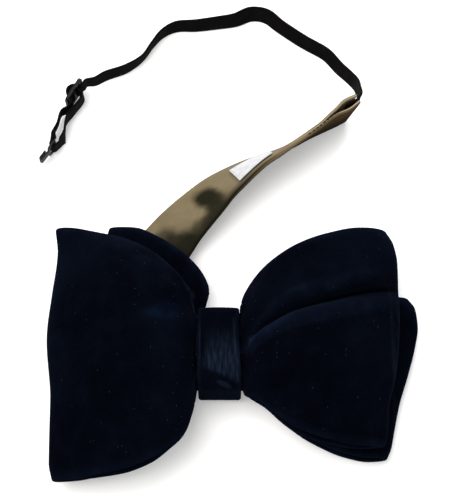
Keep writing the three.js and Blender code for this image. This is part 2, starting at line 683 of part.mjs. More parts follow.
// Marks of the strap along a table of places on the surface, travelled forwards or backwards
function marksOnRoute(rows, direction, height) {
  return rows.map((row, i) => {
    const heading = planHeading(rows[Math.max(i - 1, 0)], rows[Math.min(i + 1, rows.length - 1)]);
    const rise = ELASTIC_WIDTH / 2 * Math.sin(radians(row.turn));
    const flat = ELASTIC_THICK / 2 * Math.abs(Math.cos(radians(row.turn)));
    const z = height ?? row.lift + rise + flat + STRAP_CLEARANCE;
    const across = tippedAcross(heading.multiplyScalar(direction), row.turn);
    return { point: new THREE.Vector3(row.x, row.y, z), across };
  });
}

// The elastic is one strip: from the neckband's mouth to the slider, out to the hook, back and
// round the slider's middle bar
function elasticGeometry() {
  const slider = standingFrame(SLIDER, SLIDER.width);
  const hook = standingFrame(HOOK, HOOK_EYE.width);
  const through = ({ at, across }, rows) => rows.map(({ along, out }) => ({ point: at(along, out), across }));
  const marks = [
    ...marksOnRoute(ELASTIC_ROUTE, 1),
    ...through(slider, SLIDER_STRAP_IN),
    ...marksOnRoute(LOOP_OUTWARD, 1, slider.centre.z),
    ...through(hook, HOOK_STRAP),
    ...marksOnRoute(LOOP_RETURN, -1, slider.centre.z),
    ...through(slider, SLIDER_STRAP_END),
  ];
  const curve = new THREE.CatmullRomCurve3(marks.map(mark => mark.point));
  const last = marks.length - 1;
  const rings = [];
  for (let i = 0; i <= last * ELASTIC_STEPS_PER_MARK; i++) {
    const place = i / ELASTIC_STEPS_PER_MARK;
    const k = Math.min(Math.floor(place), last - 1);
    const tangent = curve.getTangent(place / last);
    const across = marks[k].across.clone().lerp(marks[k + 1].across, place - k);
    across.addScaledVector(tangent, -across.dot(tangent)).normalize();
    const normal = across.clone().cross(tangent);
    rings.push(stripRing(curve.getPoint(place / last), across, normal, ELASTIC_WIDTH, ELASTIC_THICK));
  }
  return loft(rings, false);
}

// A closed mesh as a solid that can be joined or cut
function solidOf(geometry) {
  const bare = geometry.clone();
  bare.deleteAttribute('normal');
  bare.deleteAttribute('uv');
  const merged = mergeVertices(bare, 1e-4);
  return new wasm.Manifold(new wasm.Mesh({
    numProp: 3,
    vertProperties: Float32Array.from(merged.attributes.position.array),
    triVerts: Uint32Array.from(merged.index.array),
  }));
}

function geometryOf(solid) {
  const { vertProperties, triVerts } = solid.getMesh();
  const geometry = new THREE.BufferGeometry();
  geometry.setAttribute('position', new THREE.BufferAttribute(vertProperties, 3));
  geometry.setIndex(new THREE.BufferAttribute(triVerts, 1));
  return geometry;
}

// A flat plate with rectangular windows, with its thickness along Z about the middle
function plate(outline, windows, thick) {
  const shape = new THREE.Shape(outline.map(([x, y]) => new THREE.Vector2(x, y)));
  const blank = new THREE.ExtrudeGeometry(shape, { depth: thick, bevelEnabled: false });
  return windows.reduce((solid, { near, far, half }) => {
    const window = new THREE.BoxGeometry(far - near, half * 2, thick * 3);
    return solid.subtract(solidOf(window.translate((near + far) / 2, 0, 0)));
  }, solidOf(blank.translate(0, 0, -thick / 2)));
}

// The outline of a rectangle with cut corners
function cutRectangle(near, far, half) {
  const cut = CORNER_CUT;
  return [
    [near + cut, -half], [far - cut, -half], [far, cut - half], [far, half - cut],
    [far - cut, half], [near + cut, half], [near, half - cut], [near, cut - half],
  ];
}

function sliderGeometry() {
  const end = SLIDER.length / 2;
  const half = SLIDER.width / 2;
  const slot = { near: SLIDER_BAR / 2, far: end - SLIDER_BAR, half: half - SLIDER_BAR };
  const mirrored = { near: -slot.far, far: -slot.near, half: slot.half };
  const solid = plate(cutRectangle(-end, end, half), [slot, mirrored], SLIDER.thick);
  return geometryOf(solid).applyMatrix4(standingFrame(SLIDER, SLIDER.width).matrix);
}

// The hook: a plate with a strap slot, and a tongue folded back over it
function hookGeometry() {
  const { near, far, slotNear, slotFar, slotWidth } = HOOK_EYE;
  const slot = { near: slotNear, far: slotFar, half: slotWidth / 2 };
  const eye = plate(cutRectangle(near, far, HOOK_EYE.width / 2), [slot], HOOK.thick);
  const half = HOOK.thick / 2;
  const radius = HOOK_TONGUE.gap / 2;
  const bend = HOOK.length - radius - HOOK.thick;
  const top = half + HOOK_TONGUE.gap;
  const profile = new THREE.Shape();
  profile.moveTo(far - HOOK_TONGUE.root, -half);
  profile.lineTo(bend, -half);
  profile.absarc(bend, half + radius, radius + HOOK.thick, -Math.PI / 2, Math.PI / 2, false);
  profile.lineTo(HOOK.length - HOOK_TONGUE.reach, top + HOOK.thick);
  profile.lineTo(HOOK.length - HOOK_TONGUE.reach, top);
  profile.lineTo(bend, top);
  profile.absarc(bend, half + radius, radius, Math.PI / 2, -Math.PI / 2, true);
  profile.lineTo(far - HOOK_TONGUE.root, half);
  const tongue = new THREE.ExtrudeGeometry(profile, {
    depth: HOOK_TONGUE.width,
    bevelEnabled: false,
    curveSegments: 8,
  });
  tongue.translate(0, 0, -HOOK_TONGUE.width / 2).rotateX(Math.PI / 2);
  const joined = eye.add(solidOf(tongue));
  return geometryOf(joined).applyMatrix4(standingFrame(HOOK, HOOK_EYE.width).matrix);
}

// The eye lies flat under the band's short end
function catchGeometry() {
  const end = CATCH.length / 2;
  const far = end - CATCH.rim;
  const slot = { near: far - CATCH_SLOT.length, far, half: CATCH_SLOT.width / 2 };
  const solid = plate(cutRectangle(-end, end, CATCH.width / 2), [slot], CATCH.thick);
  const underBand = BAND_KNOT_Z - BAND_THICK / 2 - GAP - CATCH.thick / 2;
  return geometryOf(solid).translate(CATCH.x, CATCH.y, underBand);
}

const bowTie = new THREE.Group();

function addPiece(name, geometry, finish) {
  const mesh = new THREE.Mesh(geometry, new THREE.MeshStandardMaterial(FINISH[finish]));
  mesh.name = name;
  bowTie.add(mesh);
}

addPiece('front_bow', bowGeometry(FRONT_LEFT, FRONT_RIGHT, FRONT_WALL, FRONT_ACROSS), 'velvet');
addPiece('back_bow', bowGeometry(BACK_LEFT, BACK_RIGHT, BACK_WALL, BACK_ACROSS), 'velvet');
addPiece('knot', knotGeometry(), 'velvet');
addPiece('neckband', neckbandGeometry(), 'satin');
addPiece('care_label', labelGeometry(), 'label');
addPiece('elastic', elasticGeometry(), 'elastic');
addPiece('slider', sliderGeometry(), 'coated_metal');
addPiece('hook', hookGeometry(), 'coated_metal');
addPiece('catch_eye', catchGeometry(), 'coated_metal');

export default bowTie;
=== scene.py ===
# %% [markdown]
# # A velvet bow tie, lying on its back
# This lesson dresses the plain solids of a pre-tied bow tie in cloth and metal. The bow is two
# loops of midnight navy velvet, one on the other, held by a velvet knot. A satin neckband folds
# out from behind the knot, twists on to its edge, and holds a strap of black elastic that runs
# to a slider and a hook. The solids stay where they are: each piece made here stands in the
# place of one of them.

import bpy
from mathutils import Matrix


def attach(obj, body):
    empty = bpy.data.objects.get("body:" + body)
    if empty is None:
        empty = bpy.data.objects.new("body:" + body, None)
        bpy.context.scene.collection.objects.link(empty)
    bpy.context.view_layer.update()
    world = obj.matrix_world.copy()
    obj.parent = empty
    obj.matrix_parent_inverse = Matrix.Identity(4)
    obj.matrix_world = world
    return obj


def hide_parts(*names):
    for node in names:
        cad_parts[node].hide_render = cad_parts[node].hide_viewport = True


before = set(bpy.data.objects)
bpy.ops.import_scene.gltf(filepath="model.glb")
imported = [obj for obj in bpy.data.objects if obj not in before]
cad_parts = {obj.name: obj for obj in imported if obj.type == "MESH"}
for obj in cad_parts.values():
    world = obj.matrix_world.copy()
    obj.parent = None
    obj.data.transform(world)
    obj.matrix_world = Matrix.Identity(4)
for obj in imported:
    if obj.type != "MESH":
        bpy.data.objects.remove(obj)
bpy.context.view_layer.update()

# %% Libraries and units
import math

import bpy
import bmesh
import numpy as np
from mathutils import Vector

MM = 0.001
BODY = "root"


def put_in_scene(name, data):
    """A new object at the origin that shows this mesh, lamp or camera."""
    made = bpy.data.objects.new(name, data)
    bpy.context.scene.collection.objects.link(made)
    return made


# %% [markdown]
# ## The camera, the floor and the light
# The photograph looks down on the bow from the side of its lower edge, and steeply, 70 degrees
# above the table. The lens is long, so the near wing is hardly larger than the far one. We place
# the camera first, because every later choice is judged through it.

# %% Camera
CAMERA_ELEVATION = math.radians(70)
CAMERA_DISTANCE = 0.72
CAMERA_AIM = Vector((0.00284, 0.04705, 0))
FIELD_OF_VIEW = math.radians(15.85)

camera_data = bpy.data.cameras.new("camera")
camera_data.sensor_fit = "VERTICAL"
camera_data.angle_y = FIELD_OF_VIEW
camera = put_in_scene("camera", camera_data)
towards_camera = Vector((0, -math.cos(CAMERA_ELEVATION), math.sin(CAMERA_ELEVATION)))
camera.location = CAMERA_AIM + CAMERA_DISTANCE * towards_camera
camera.rotation_euler = (-towards_camera).to_track_quat("-Z", "Y").to_euler()
bpy.context.scene.camera = camera
print("camera at", tuple(round(value, 4) for value in camera.location))


# %% [markdown]
# ## Shader maths as plain expressions
# A material is a graph of nodes, but the sums in it read best as sums. `Number` wraps one socket
# and turns `1 - mask * 0.5` into Math nodes. `Shader.node` adds every other kind of node.

# %% A small language for materials
class Number:
    """A socket that holds a number, and takes part in sums."""

    def __init__(self, shader, socket):
        self.shader = shader
        self.socket = socket

    def math(self, operation, *inputs):
        settings = {"operation": operation}
        return Number(self.shader, self.shader.node("Math", settings, dict(enumerate(inputs))).outputs[0])

    def __add__(self, other):
        return self.math("ADD", self, other)

    def __sub__(self, other):
        return self.math("SUBTRACT", self, other)

    def __rsub__(self, other):
        return self.math("SUBTRACT", other, self)

    def __mul__(self, other):
        return self.math("MULTIPLY", self, other)

    def __truediv__(self, other):
        return self.math("DIVIDE", self, other)

    def __rtruediv__(self, other):
        return self.math("DIVIDE", other, self)

    def __pow__(self, other):
        return self.math("POWER", self, other)

    __radd__ = __add__
    __rmul__ = __mul__

    def sine(self):
        return self.math("SINE", self)

    def wave(self, period):
        """A sine wave from 0 to 1 that repeats after this many metres."""
        return (self * (2 * math.pi / period)).sine() * 0.5 + 0.5

    def size(self):
        return self.math("ABSOLUTE", self)

    def at_most(self, other):
        return self.math("MINIMUM", self, other)

    def at_least(self, other):
        return self.math("MAXIMUM", self, other)

    def step(self, low, high):
        """0 below low, 1 above high and smooth between them; the other way round if low is above high."""
        inputs = {"Value": self, "From Min": min(low, high), "From Max": max(low, high)}
        inputs["To Min"] = 0 if low < high else 1
        inputs["To Max"] = 1 if low < high else 0
        made = self.shader.node("MapRange", {"interpolation_type": "SMOOTHSTEP"}, inputs)
        return Number(self.shader, made.outputs[0])


class Shader:
    """A material that is being built."""

    def __init__(self, name):
        self.material = bpy.data.materials.new(name)
        self.material.use_nodes = True
        self.tree = self.material.node_tree
        self.tree.nodes.clear()

    def node(self, kind, settings=None, inputs=None):
        """Adds a node, sets its settings, and then feeds its inputs with values or links."""
        made = self.tree.nodes.new("ShaderNode" + kind)
        for key, value in (settings or {}).items():
            if key == "stops":
                self.set_stops(made.color_ramp, value)
            else:
                setattr(made, key, value)
        for key, value in (inputs or {}).items():
            self.feed(made.inputs[key], value)
        return made

    def set_stops(self, ramp, stops):
        while len(ramp.elements) < len(stops):
            ramp.elements.new(0.5)
        for element, (place, color) in zip(ramp.elements, stops):
            element.position = place
            element.color = (*color, 1)

    def feed(self, socket, value):
        value = value.socket if isinstance(value, Number) else value
        if isinstance(value, bpy.types.NodeSocket):
            self.tree.links.new(value, socket)
        else:
            socket.default_value = value

    def number(self, socket):
        return Number(self, socket)

    def place(self):
        """Object coordinates, in metres, as a vector and as its three numbers."""
        vector = self.node("TexCoord").outputs["Object"]
        parts = self.node("SeparateXYZ", None, {0: vector}).outputs
        return vector, [self.number(part) for part in parts]

    def cloth(self):
        """The piece's own map of its cloth, in metres along and across."""
        vector = self.node("UVMap", {"uv_map": "cloth"}).outputs[0]
        parts = self.node("SeparateXYZ", None, {0: vector}).outputs
        return vector, [self.number(part) for part in parts][:2]

    def noise(self, vector, size, detail=2.0, seed=0.0):
        """Soft noise from 0 to 1, with lumps of about this size in metres."""
        inputs = {"Vector": vector, "W": seed, "Scale": 1 / size, "Detail": detail}
        made = self.node("TexNoise", {"noise_dimensions": "4D"}, inputs)
        return self.number(made.outputs[0])

    def blend(self, mask, dark, light):
        """A colour from dark at mask 0 to light at mask 1. Either may be a socket."""
        def colour(value):
            return (*value, 1) if isinstance(value, tuple) else value
        inputs = {0: mask, 6: colour(dark), 7: colour(light)}
        return self.node("Mix", {"data_type": "RGBA"}, inputs).outputs[2]

    def bump(self, height, distance, below=None):
        """A normal from a height between 0 and 1, that much of a metre high."""
        inputs = {"Height": height, "Distance": distance, "Strength": 1.0}
        if below is not None:
            inputs["Normal"] = below
        return self.node("Bump", None, inputs).outputs[0]

    def finish(self, inputs):
        surface = self.node("BsdfPrincipled", None, inputs)
        self.node("OutputMaterial", None, {"Surface": surface.outputs[0]})
        return self.material


# %% [markdown]
# ## Floor and studio light
# The floor is plain and pale, a light table that glows a little and so opens the shadows. Velvet
# drinks light and gives it back only where its pile is seen from the side, so the lamps are large
# and soft: one high on the left, and one low behind the upper edge that helps to light the rims,
# which the velvet's colour also lightens as a painted highlight. A white sky fills in the rest.

# %% Floor and lamps
FLOOR_HALF = 1.5
FLOOR_DROP = 0.0001
WHITE = (1.0, 1.0, 1.0)

floor_data = bpy.data.meshes.new("floor")
corners = [(-1, -1), (1, -1), (1, 1), (-1, 1)]
corners = [(x * FLOOR_HALF, y * FLOOR_HALF, -FLOOR_DROP) for x, y in corners]
floor_data.from_pydata(corners, [], [(0, 1, 2, 3)])
floor = put_in_scene("floor", floor_data)
paper = Shader("pale_paper")
floor_data.materials.append(paper.finish({
    "Base Color": (0.86, 0.86, 0.85, 1),
    "Roughness": 0.9,
    "Emission Color": (*WHITE, 1),
    "Emission Strength": 0.22,
}))


def soft_lamp(name, place, aim, size, watts, color):
    """A square lamp at a place, turned to face a point."""
    data = bpy.data.lights.new(name, "AREA")
    data.shape = "SQUARE"
    data.size = size
    data.energy = watts
    data.color = color
    lamp = put_in_scene(name, data)
    lamp.location = place
    lamp.rotation_euler = (Vector(aim) - Vector(place)).to_track_quat("-Z", "Y").to_euler()
    return lamp


BOW_MIDDLE = (0, 0.03, 0.01)
soft_lamp("key_lamp", (-0.4, 0.1, 1.1), BOW_MIDDLE, 0.9, 13, (1.0, 0.98, 0.96))
soft_lamp("rim_lamp", (0.25, 1.0, 0.5), BOW_MIDDLE, 0.5, 9, (0.93, 0.95, 1.0))
world = bpy.data.worlds.new("studio")
world.use_nodes = True
world.node_tree.nodes["Background"].inputs["Color"].default_value = (*WHITE, 1)
world.node_tree.nodes["Background"].inputs["Strength"].default_value = 0.72
bpy.context.scene.world = world
bpy.context.scene.view_settings.view_transform = "Standard"


# %% [markdown]
# ## Tables and smooth curves
# Each piece follows a short table of sections, written in millimetres. A `Profile` draws a smooth
# curve through each column, and never swings past a row, so a bow stays as tall as its table
# says. A run of cloth or elastic follows a Catmull-Rom curve through its places.

# %% Helpers for tables
def table(columns, *rows):
    """Rows of numbers under named columns."""
    return [dict(zip(columns.split(), row)) for row in rows]


class Profile:
    """Smooth curves through the columns of a table, each against the key column."""

    def __init__(self, rows, key):
        self.key = np.array([row[key] for row in rows], float)
        self.columns = {name: np.array([row[name] for row in rows], float) for name in rows[0]}
        self.last = self.key[-1]

    def at(self, name, value):
        x, y = self.key, self.columns[name]
        step = np.diff(x)
        rise = np.diff(y) / step
        slope = np.concatenate([rise[:1], np.zeros(len(rise) - 1), rise[-1:]])
        same = rise[:-1] * rise[1:] > 0
        total = np.where(same, rise[:-1] + rise[1:], 1)
        slope[1:-1] = np.where(same, 2 * rise[:-1] * rise[1:] / total, 0)
        value = np.clip(value, x[0], x[-1])
        k = np.clip(np.searchsorted(x, value) - 1, 0, len(x) - 2)
        f = (value - x[k]) / step[k]
        blend = f * f * (3 - 2 * f)
        eased = step[k] * ((f - 1) ** 2 * f * slope[k] + (f - 1) * f * f * slope[k + 1])
        return y[k] * (1 - blend) + y[k + 1] * blend + eased


def curve_through(points, places):
    """Points and unit tangents of a centripetal Catmull-Rom curve. A place counts points from 0."""
    points = np.asarray(points, float)
    ends = [2 * points[0] - points[1]], [2 * points[-1] - points[-2]]
    padded = np.concatenate([ends[0], points, ends[1]])
    places = np.asarray(places, float)
    k = np.clip(np.floor(places).astype(int), 0, len(points) - 2)
    f = (places - k)[:, None]
    a, b, c, d = (padded[k + i] for i in range(4))
    gap = [np.sqrt(np.linalg.norm(q - p, axis=1))[:, None] for p, q in ((a, b), (b, c), (c, d))]
    start = ((b - a) / gap[0] - (c - a) / (gap[0] + gap[1]) + (c - b) / gap[1]) * gap[1]
    stop = ((c - b) / gap[1] - (d - b) / (gap[1] + gap[2]) + (d - c) / gap[2]) * gap[1]
    square = 3 * (c - b) - 2 * start - stop
    cube = 2 * (b - c) + start + stop
    heading = start + 2 * square * f + 3 * cube * f * f
    heading /= np.linalg.norm(heading, axis=1)[:, None]
    return b + start * f + square * f * f + cube * f ** 3, heading


def smooth_step(value, low, high):
    f = np.clip((value - low) / (high - low), 0, 1)
    return f * f * (3 - 2 * f)


def unit(vectors):
    return vectors / np.linalg.norm(vectors, axis=-1, keepdims=True)


def soft_waves(points, size, seed, count=14):
    """A smooth random field from about -1 to 1 over points, with lumps of about this size."""
    draw = np.random.default_rng(seed)
    ways = unit(draw.normal(size=(count, 3))) * 2 * math.pi / size * draw.uniform(0.6, 1.2, (count, 1))
    shifts = draw.uniform(0, 2 * math.pi, count)
    return np.sin(points @ ways.T + shifts).sum(axis=-1) * math.sqrt(2 / count) * 0.7


# %% [markdown]
# ## From a grid of points to a piece
# A sheet of cloth is a grid of points: `i` runs along the strip and `j` from one edge to the
# other. `thicken` gives it two faces and rounded rims, as one closed skin. `cloth_piece` turns the
# skin into a mesh with a map of the cloth in real metres, which the weave follows later.

# %% Helpers for cloth
RIM_STEPS = 6
RIM_BULGE = 0.84


def thicken(sheet, wall, closed=True):
    """Rings of points round a sheet: its upper face, a rounded rim, its lower face, a rounded rim."""
    along = np.roll(sheet, -1, axis=0) - np.roll(sheet, 1, axis=0)
    if not closed:
        along[0] = sheet[1] - sheet[0]
        along[-1] = sheet[-1] - sheet[-2]
    across = np.gradient(sheet, axis=1)
    normal = unit(np.cross(along, across)) * wall / 2
    turns = np.linspace(-math.pi / 2, math.pi / 2, RIM_STEPS)[1:-1]

    def rim(j, sign, angles):
        out = unit(across[:, j]) * sign * wall / 2 * RIM_BULGE
        return [sheet[:, j] + normal[:, j] * math.sin(t) + out * math.cos(t) for t in angles]

    first = np.stack(rim(0, -1, turns), axis=1)
    last = np.stack(rim(-1, 1, -turns), axis=1)
    return np.concatenate([first, sheet + normal, last, (sheet - normal)[:, ::-1]], axis=1)


FOLD_REACH = 4
FOLD_DEPTH = 2.5


# The velvet reads this number to paint shade into valleys and highlights onto ridges and rims.
def fold_depth(rings, sign):
    """How deep each point lies in a fold, from 1 in a valley to -1 on a ridge or a rim."""
    along = np.gradient(rings, axis=0)
    across = np.roll(rings, -1, axis=1) - np.roll(rings, 1, axis=1)
    outward = unit(np.cross(along, across)) * sign
    beside = (np.roll(rings, FOLD_REACH, axis=1) + np.roll(rings, -FOLD_REACH, axis=1)) / 2
    return np.clip(((beside - rings) * outward).sum(axis=2) / FOLD_DEPTH, -1, 1)


def cloth_piece(name, rings, closed, material):
    """A closed mesh through rings of points in millimetres, open runs capped, smooth shaded."""
    count, around = rings.shape[:2]
    rows = np.arange(count if closed else count - 1)[:, None]
    cols = np.arange(around)[None, :]
    here, there = rows * around, (rows + 1) % count * around
    right = (cols + 1) % around
    quads = np.stack([here + cols, there + cols, there + right, here + right], axis=-1).reshape(-1, 4)
    faces = [quads]
    if not closed:
        k = np.arange(around // 2 - 1)
        cap = np.stack([k, k + 1, around - 2 - k, around - 1 - k], axis=-1)
        faces += [cap, cap[:, ::-1] + (count - 1) * around]
    faces = np.concatenate(faces)
    points = rings.reshape(-1, 3) * MM

    gap = np.linalg.norm(np.roll(rings, -1, axis=1) - rings, axis=2)
    across = np.concatenate([np.zeros((count, 1)), np.cumsum(gap, axis=1)], axis=1) * MM
    gap = np.linalg.norm(np.roll(rings, -1, axis=0) - rings, axis=2).mean(axis=1)
    along = np.concatenate([[0], np.cumsum(gap)]) * MM
    u = np.stack([along[rows], along[rows + 1], along[rows + 1], along[rows]], axis=-1)
    u = np.broadcast_to(u, (len(rows), around, 4))
    v = np.stack([across[rows, cols], across[(rows + 1) % count, cols],
                  across[(rows + 1) % count, cols + 1], across[rows, cols + 1]], axis=-1)
    uv = np.stack([u, v], axis=-1).reshape(-1, 2)
    uv = np.concatenate([uv, np.zeros(((len(faces) - len(quads)) * 4, 2))])

    corner = points[faces]
    volume = np.einsum("ij,ij->i", corner[:, 0], np.cross(corner[:, 1], corner[:, 2])).sum()
    volume += np.einsum("ij,ij->i", corner[:, 0], np.cross(corner[:, 2], corner[:, 3])).sum()
    if volume < 0:
        faces = faces[:, ::-1]
        uv = uv.reshape(-1, 4, 2)[:, ::-1].reshape(-1, 2)

    mesh = bpy.data.meshes.new(name)
    mesh.vertices.add(len(points))
    mesh.vertices.foreach_set("co", points.ravel())
    mesh.loops.add(faces.size)
    mesh.loops.foreach_set("vertex_index", np.ascontiguousarray(faces).ravel())
    mesh.polygons.add(len(faces))
    mesh.polygons.foreach_set("loop_start", np.arange(0, faces.size, 4))
    fold = mesh.attributes.new("fold", "FLOAT", "POINT")
    fold.data.foreach_set("value", fold_depth(rings, -1 if volume < 0 else 1).ravel())
    mesh.uv_layers.new(name="cloth").data.foreach_set("uv", np.ascontiguousarray(uv).ravel())
    mesh.update(calc_edges=True)
    mesh.polygons.foreach_set("use_smooth", np.ones(len(faces), bool))
    mesh.validate()
    piece = put_in_scene(name, mesh)
    mesh.materials.append(material)
    print(f"{name}: {len(points)} points, {2 * len(faces)} triangles")
    return piece


def hand_over(piece, slot, *nodes):
    """The piece rides on the body and stands for the named solids, which are hidden; slot is not used."""
    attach(piece, BODY)
    if nodes:
        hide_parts(*nodes)
    return piece


# %% [markdown]
# ## Velvet
# Velvet is a dense pile of short upright fibres. Seen end on, it swallows the light and looks
# almost black; seen from the side, on a rim or a fold, its flanks send some back as a soft blue
# edge. Each mesh carries a number called "fold", which is high in valleys and low on rims, so the
# material paints shade into the one and a highlight onto the other. Where the pile is crushed it
# lies flat, and its shine is painted into the colour. The colour wanders between two navies, a
# table lays larger painted highlights of sheen where the photograph has them, and a fine grain of
# tufts breaks up the surface.

# %% The velvet finish
PILE_DARK = (0.0006, 0.0009, 0.0020)
PILE_LIT = (0.0017, 0.0027, 0.0058)
# Painted sheen of flattened pile, also used for highlight patches.
PILE_PAINTED_SHEEN = (0.0085, 0.0140, 0.0260)
# Tints of painted sheen for the highlight patches.
PILE_PURPLE_PAINTED_SHEEN = (0.0046, 0.0040, 0.0100)
PILE_BLUE_PAINTED_SHEEN = (0.0040, 0.0085, 0.0240)
# Painted shade for the valleys of folds.
PILE_PAINTED_FOLD_SHADE = (0.0001, 0.0002, 0.0004)
# Painted highlight for rims and ridges.
PILE_PAINTED_RIM_HIGHLIGHT = (0.0046, 0.0078, 0.0180)
PILE_SHEEN_TINT = (0.34, 0.47, 0.95)
# Painted highlights: patches of sheen, lit ridges and lit rims on the bows, drawn into the colour.
PAINTED_HIGHLIGHTS = table(
    "x y long short angle strength color",
    (-11.2, 24.7, 4.0, 2.4, -62, 1.0, PILE_PAINTED_SHEEN),
    (-9.9, 19.0, 6.5, 0.9, -82, 0.4, PILE_PAINTED_SHEEN),
    (-20.4, 11.8, 9.0, 5.0, 12, 0.5, PILE_BLUE_PAINTED_SHEEN),
    (-30.0, 35.0, 26, 5.0, -35, 0.12, PILE_PAINTED_SHEEN),
    (20.0, 5.6, 13, 2.6, 30, 0.60, PILE_BLUE_PAINTED_SHEEN),
    (12.8, 2.6, 2.4, 1.6, 60, 0.60, PILE_PAINTED_SHEEN),
    (66.9, -1.4, 32, 1.3, 92, 0.30, PILE_PAINTED_SHEEN),
    (13.5, 26.0, 12.0, 4.5, 56, 0.80, PILE_PURPLE_PAINTED_SHEEN),
)


def crushed_pile_painted_sheen(shader, vector, x, y):
    """Painted sheen where the knot's pile lies flat, and painted highlights: a fan below its middle, a foot,
    and both edges.
    """
    streaked = shader.node("Mapping", None, {"Vector": vector, "Scale": (1.0, 0.12, 0.3)}).outputs[0]
    fine = shader.noise(streaked, 0.0006, 3.0, 2.0).step(0.38, 0.68)
    wide = shader.noise(streaked, 0.0021, 2.0, 6.0).step(0.34, 0.62)
    fan = ((x - 0.0012) / (0.0078 - y * 0.22)) ** 2
    patch = fan.step(1.0, 0.1) * y.step(0.0080, -0.0040) * (y + x * 0.42).step(-0.0122, -0.0098)
    foot = (((x - 0.0022) / 0.0034) ** 2 + ((y + x * 0.3 + 0.0143) / 0.0011) ** 2).step(1.0, 0.2)
    # Painted highlights along both edges of the knot.
    left_edge = (x + 0.0070).size().step(0.0006, 0.0001)
    right_edge = (x - 0.0065 + y * 0.05).size().step(0.0008, 0.0001)
    edge_highlights = (left_edge + right_edge) * (y - 0.002).size().step(0.0105, 0.004) * (wide * 0.6 + 0.3)
    return patch * (fine * 0.7 + wide * 0.3) * 0.75 + edge_highlights * 0.5 + foot * 0.4


def velvet(name, crushed_sheen=0.0, sheen=0.02):
    """How much flattened pile the middle of the piece shows, its shine painted into the colour."""
    shader = Shader(name)
    vector, (x, y, z) = shader.place()
    brushed = shader.noise(vector, 0.028, 2.0, 3.0).step(0.35, 0.68)
    patches = shader.noise(vector, 0.007, 3.0, 8.0).step(0.42, 0.72)
    tufts = shader.noise(vector, 0.0007, 2.0, 5.0)
    shade = brushed * 0.45 + patches * 0.3 + tufts.step(0.3, 0.75) * 0.25
    color = shader.blend(shade, PILE_DARK, PILE_LIT)
    fold = Number(shader, shader.node("Attribute", {"attribute_name": "fold"}).outputs["Fac"])
    # Painted shade: the valleys of the folds are darkened in the colour.
    color = shader.blend(fold.step(0.12, 0.8) * 0.9, color, PILE_PAINTED_FOLD_SHADE)
    # Painted highlight: rims and ridges are lightened in the colour.
    color = shader.blend((fold * -1).step(0.1, 0.6) * (patches * 0.2 + 0.15), color, PILE_PAINTED_RIM_HIGHLIGHT)
    # Painted highlights of sheen, laid from the table.
    for highlight in () if crushed_sheen else PAINTED_HIGHLIGHTS:
        angle = math.radians(highlight["angle"])
        aside, beyond = x - highlight["x"] * MM, y - highlight["y"] * MM
        along = (aside * math.cos(angle) + beyond * math.sin(angle)) / (highlight["long"] * MM)
        across = (beyond * math.cos(angle) - aside * math.sin(angle)) / (highlight["short"] * MM)
        near = (along ** 2 + across ** 2).step(1.0, -0.4) * (patches * 0.7 + tufts.step(0.3, 0.7) * 0.3 + 0.2)
        color = shader.blend(near * highlight["strength"], color, highlight["color"])
    if crushed_sheen:
        # Painted sheen of crushed pile and painted highlights on the knot.
        painted_lustre = crushed_pile_painted_sheen(shader, vector, x, y)
        color = shader.blend(painted_lustre.at_most(1) * crushed_sheen, color, PILE_PAINTED_SHEEN)
    rough = 0.92 - patches * 0.12
    grain = shader.bump(tufts, 0.00025)
    nap = shader.bump(shader.noise(vector, 0.0024, 3.0, 4.0), 0.0005, grain)
    return shader.finish({
        "Base Color": color,
        "Roughness": rough,
        "Normal": nap,
        "Specular IOR Level": 0.0,
        "Sheen Weight": sheen,
        "Sheen Roughness": 0.42,
        "Sheen Tint": (*PILE_SHEEN_TINT, 1),
    })


# %% [markdown]
# ## The two bows
# Each bow is one endless strip of cloth: its front ply runs out to the left, turns over in a
# rounded fold, comes back as the back ply, and does the same on the right. One row of a table
# describes the strip at a distance `out` from the knot: where its two open rims lie, how high its
# front ply stands in the middle and at the rims, and how high its back ply is. Where the strip
# enters the knot it is pinched from a hand's breadth to the width of two fingers, so it gathers.

# %% Sizes of the bows
FRONT_WALL = 2.6
BACK_WALL = 2.2
GATHER_COUNT = 3
GATHER_HEIGHT = 1.1
GATHER_FADE = 30
DOME_POWER = 2.4
CURL_POWER = 8
CREASE = {"above": 0.055, "below": 0.035, "roll_below": 0.09, "roll_width": 0.06}

BOW_COLUMNS = "out top bottom crown top_rim bottom_rim under lean"
FRONT_LEFT = {
    "side": -1,
    "fold_start": 55,
    "rows": table(
        BOW_COLUMNS,
        (0, 12.4, -12.4, 18.4, 18.4, 18.4, 14.6, 0),
        (9, 12.6, -12.6, 18.5, 18.4, 18.2, 14.9, 0),
        (10.4, 17.3, -23, 20.4, 19.6, 18.8, 15.6, 0.3),
        (13, 24.3, -31.8, 24.0, 21.3, 19.4, 15.4, 0.2),
        (18, 30, -37.0, 28.2, 23.3, 19.9, 15.4, 0),
        (26, 36.4, -42.5, 31.2, 24.4, 21.2, 13.6, 0),
        (36, 42.1, -46.2, 30.6, 22.6, 20.8, 12.9, 0),
        (48, 46.6, -47.9, 26.2, 18.6, 16.8, 12.5, 0),
        (55, 49.1, -48.5, 22.6, 15.4, 13.6, 10.4, 0),
        (64, 51.2, -48.5, 17.8, 12.6, 11.4, 6.2, 0),
    ),
    "reach": table(
        "across out",
        (0, 61.6), (0.06, 62.8), (0.3, 62.9), (0.55, 65), (0.72, 63.6), (0.9, 62), (1, 63.2),
    ),
}
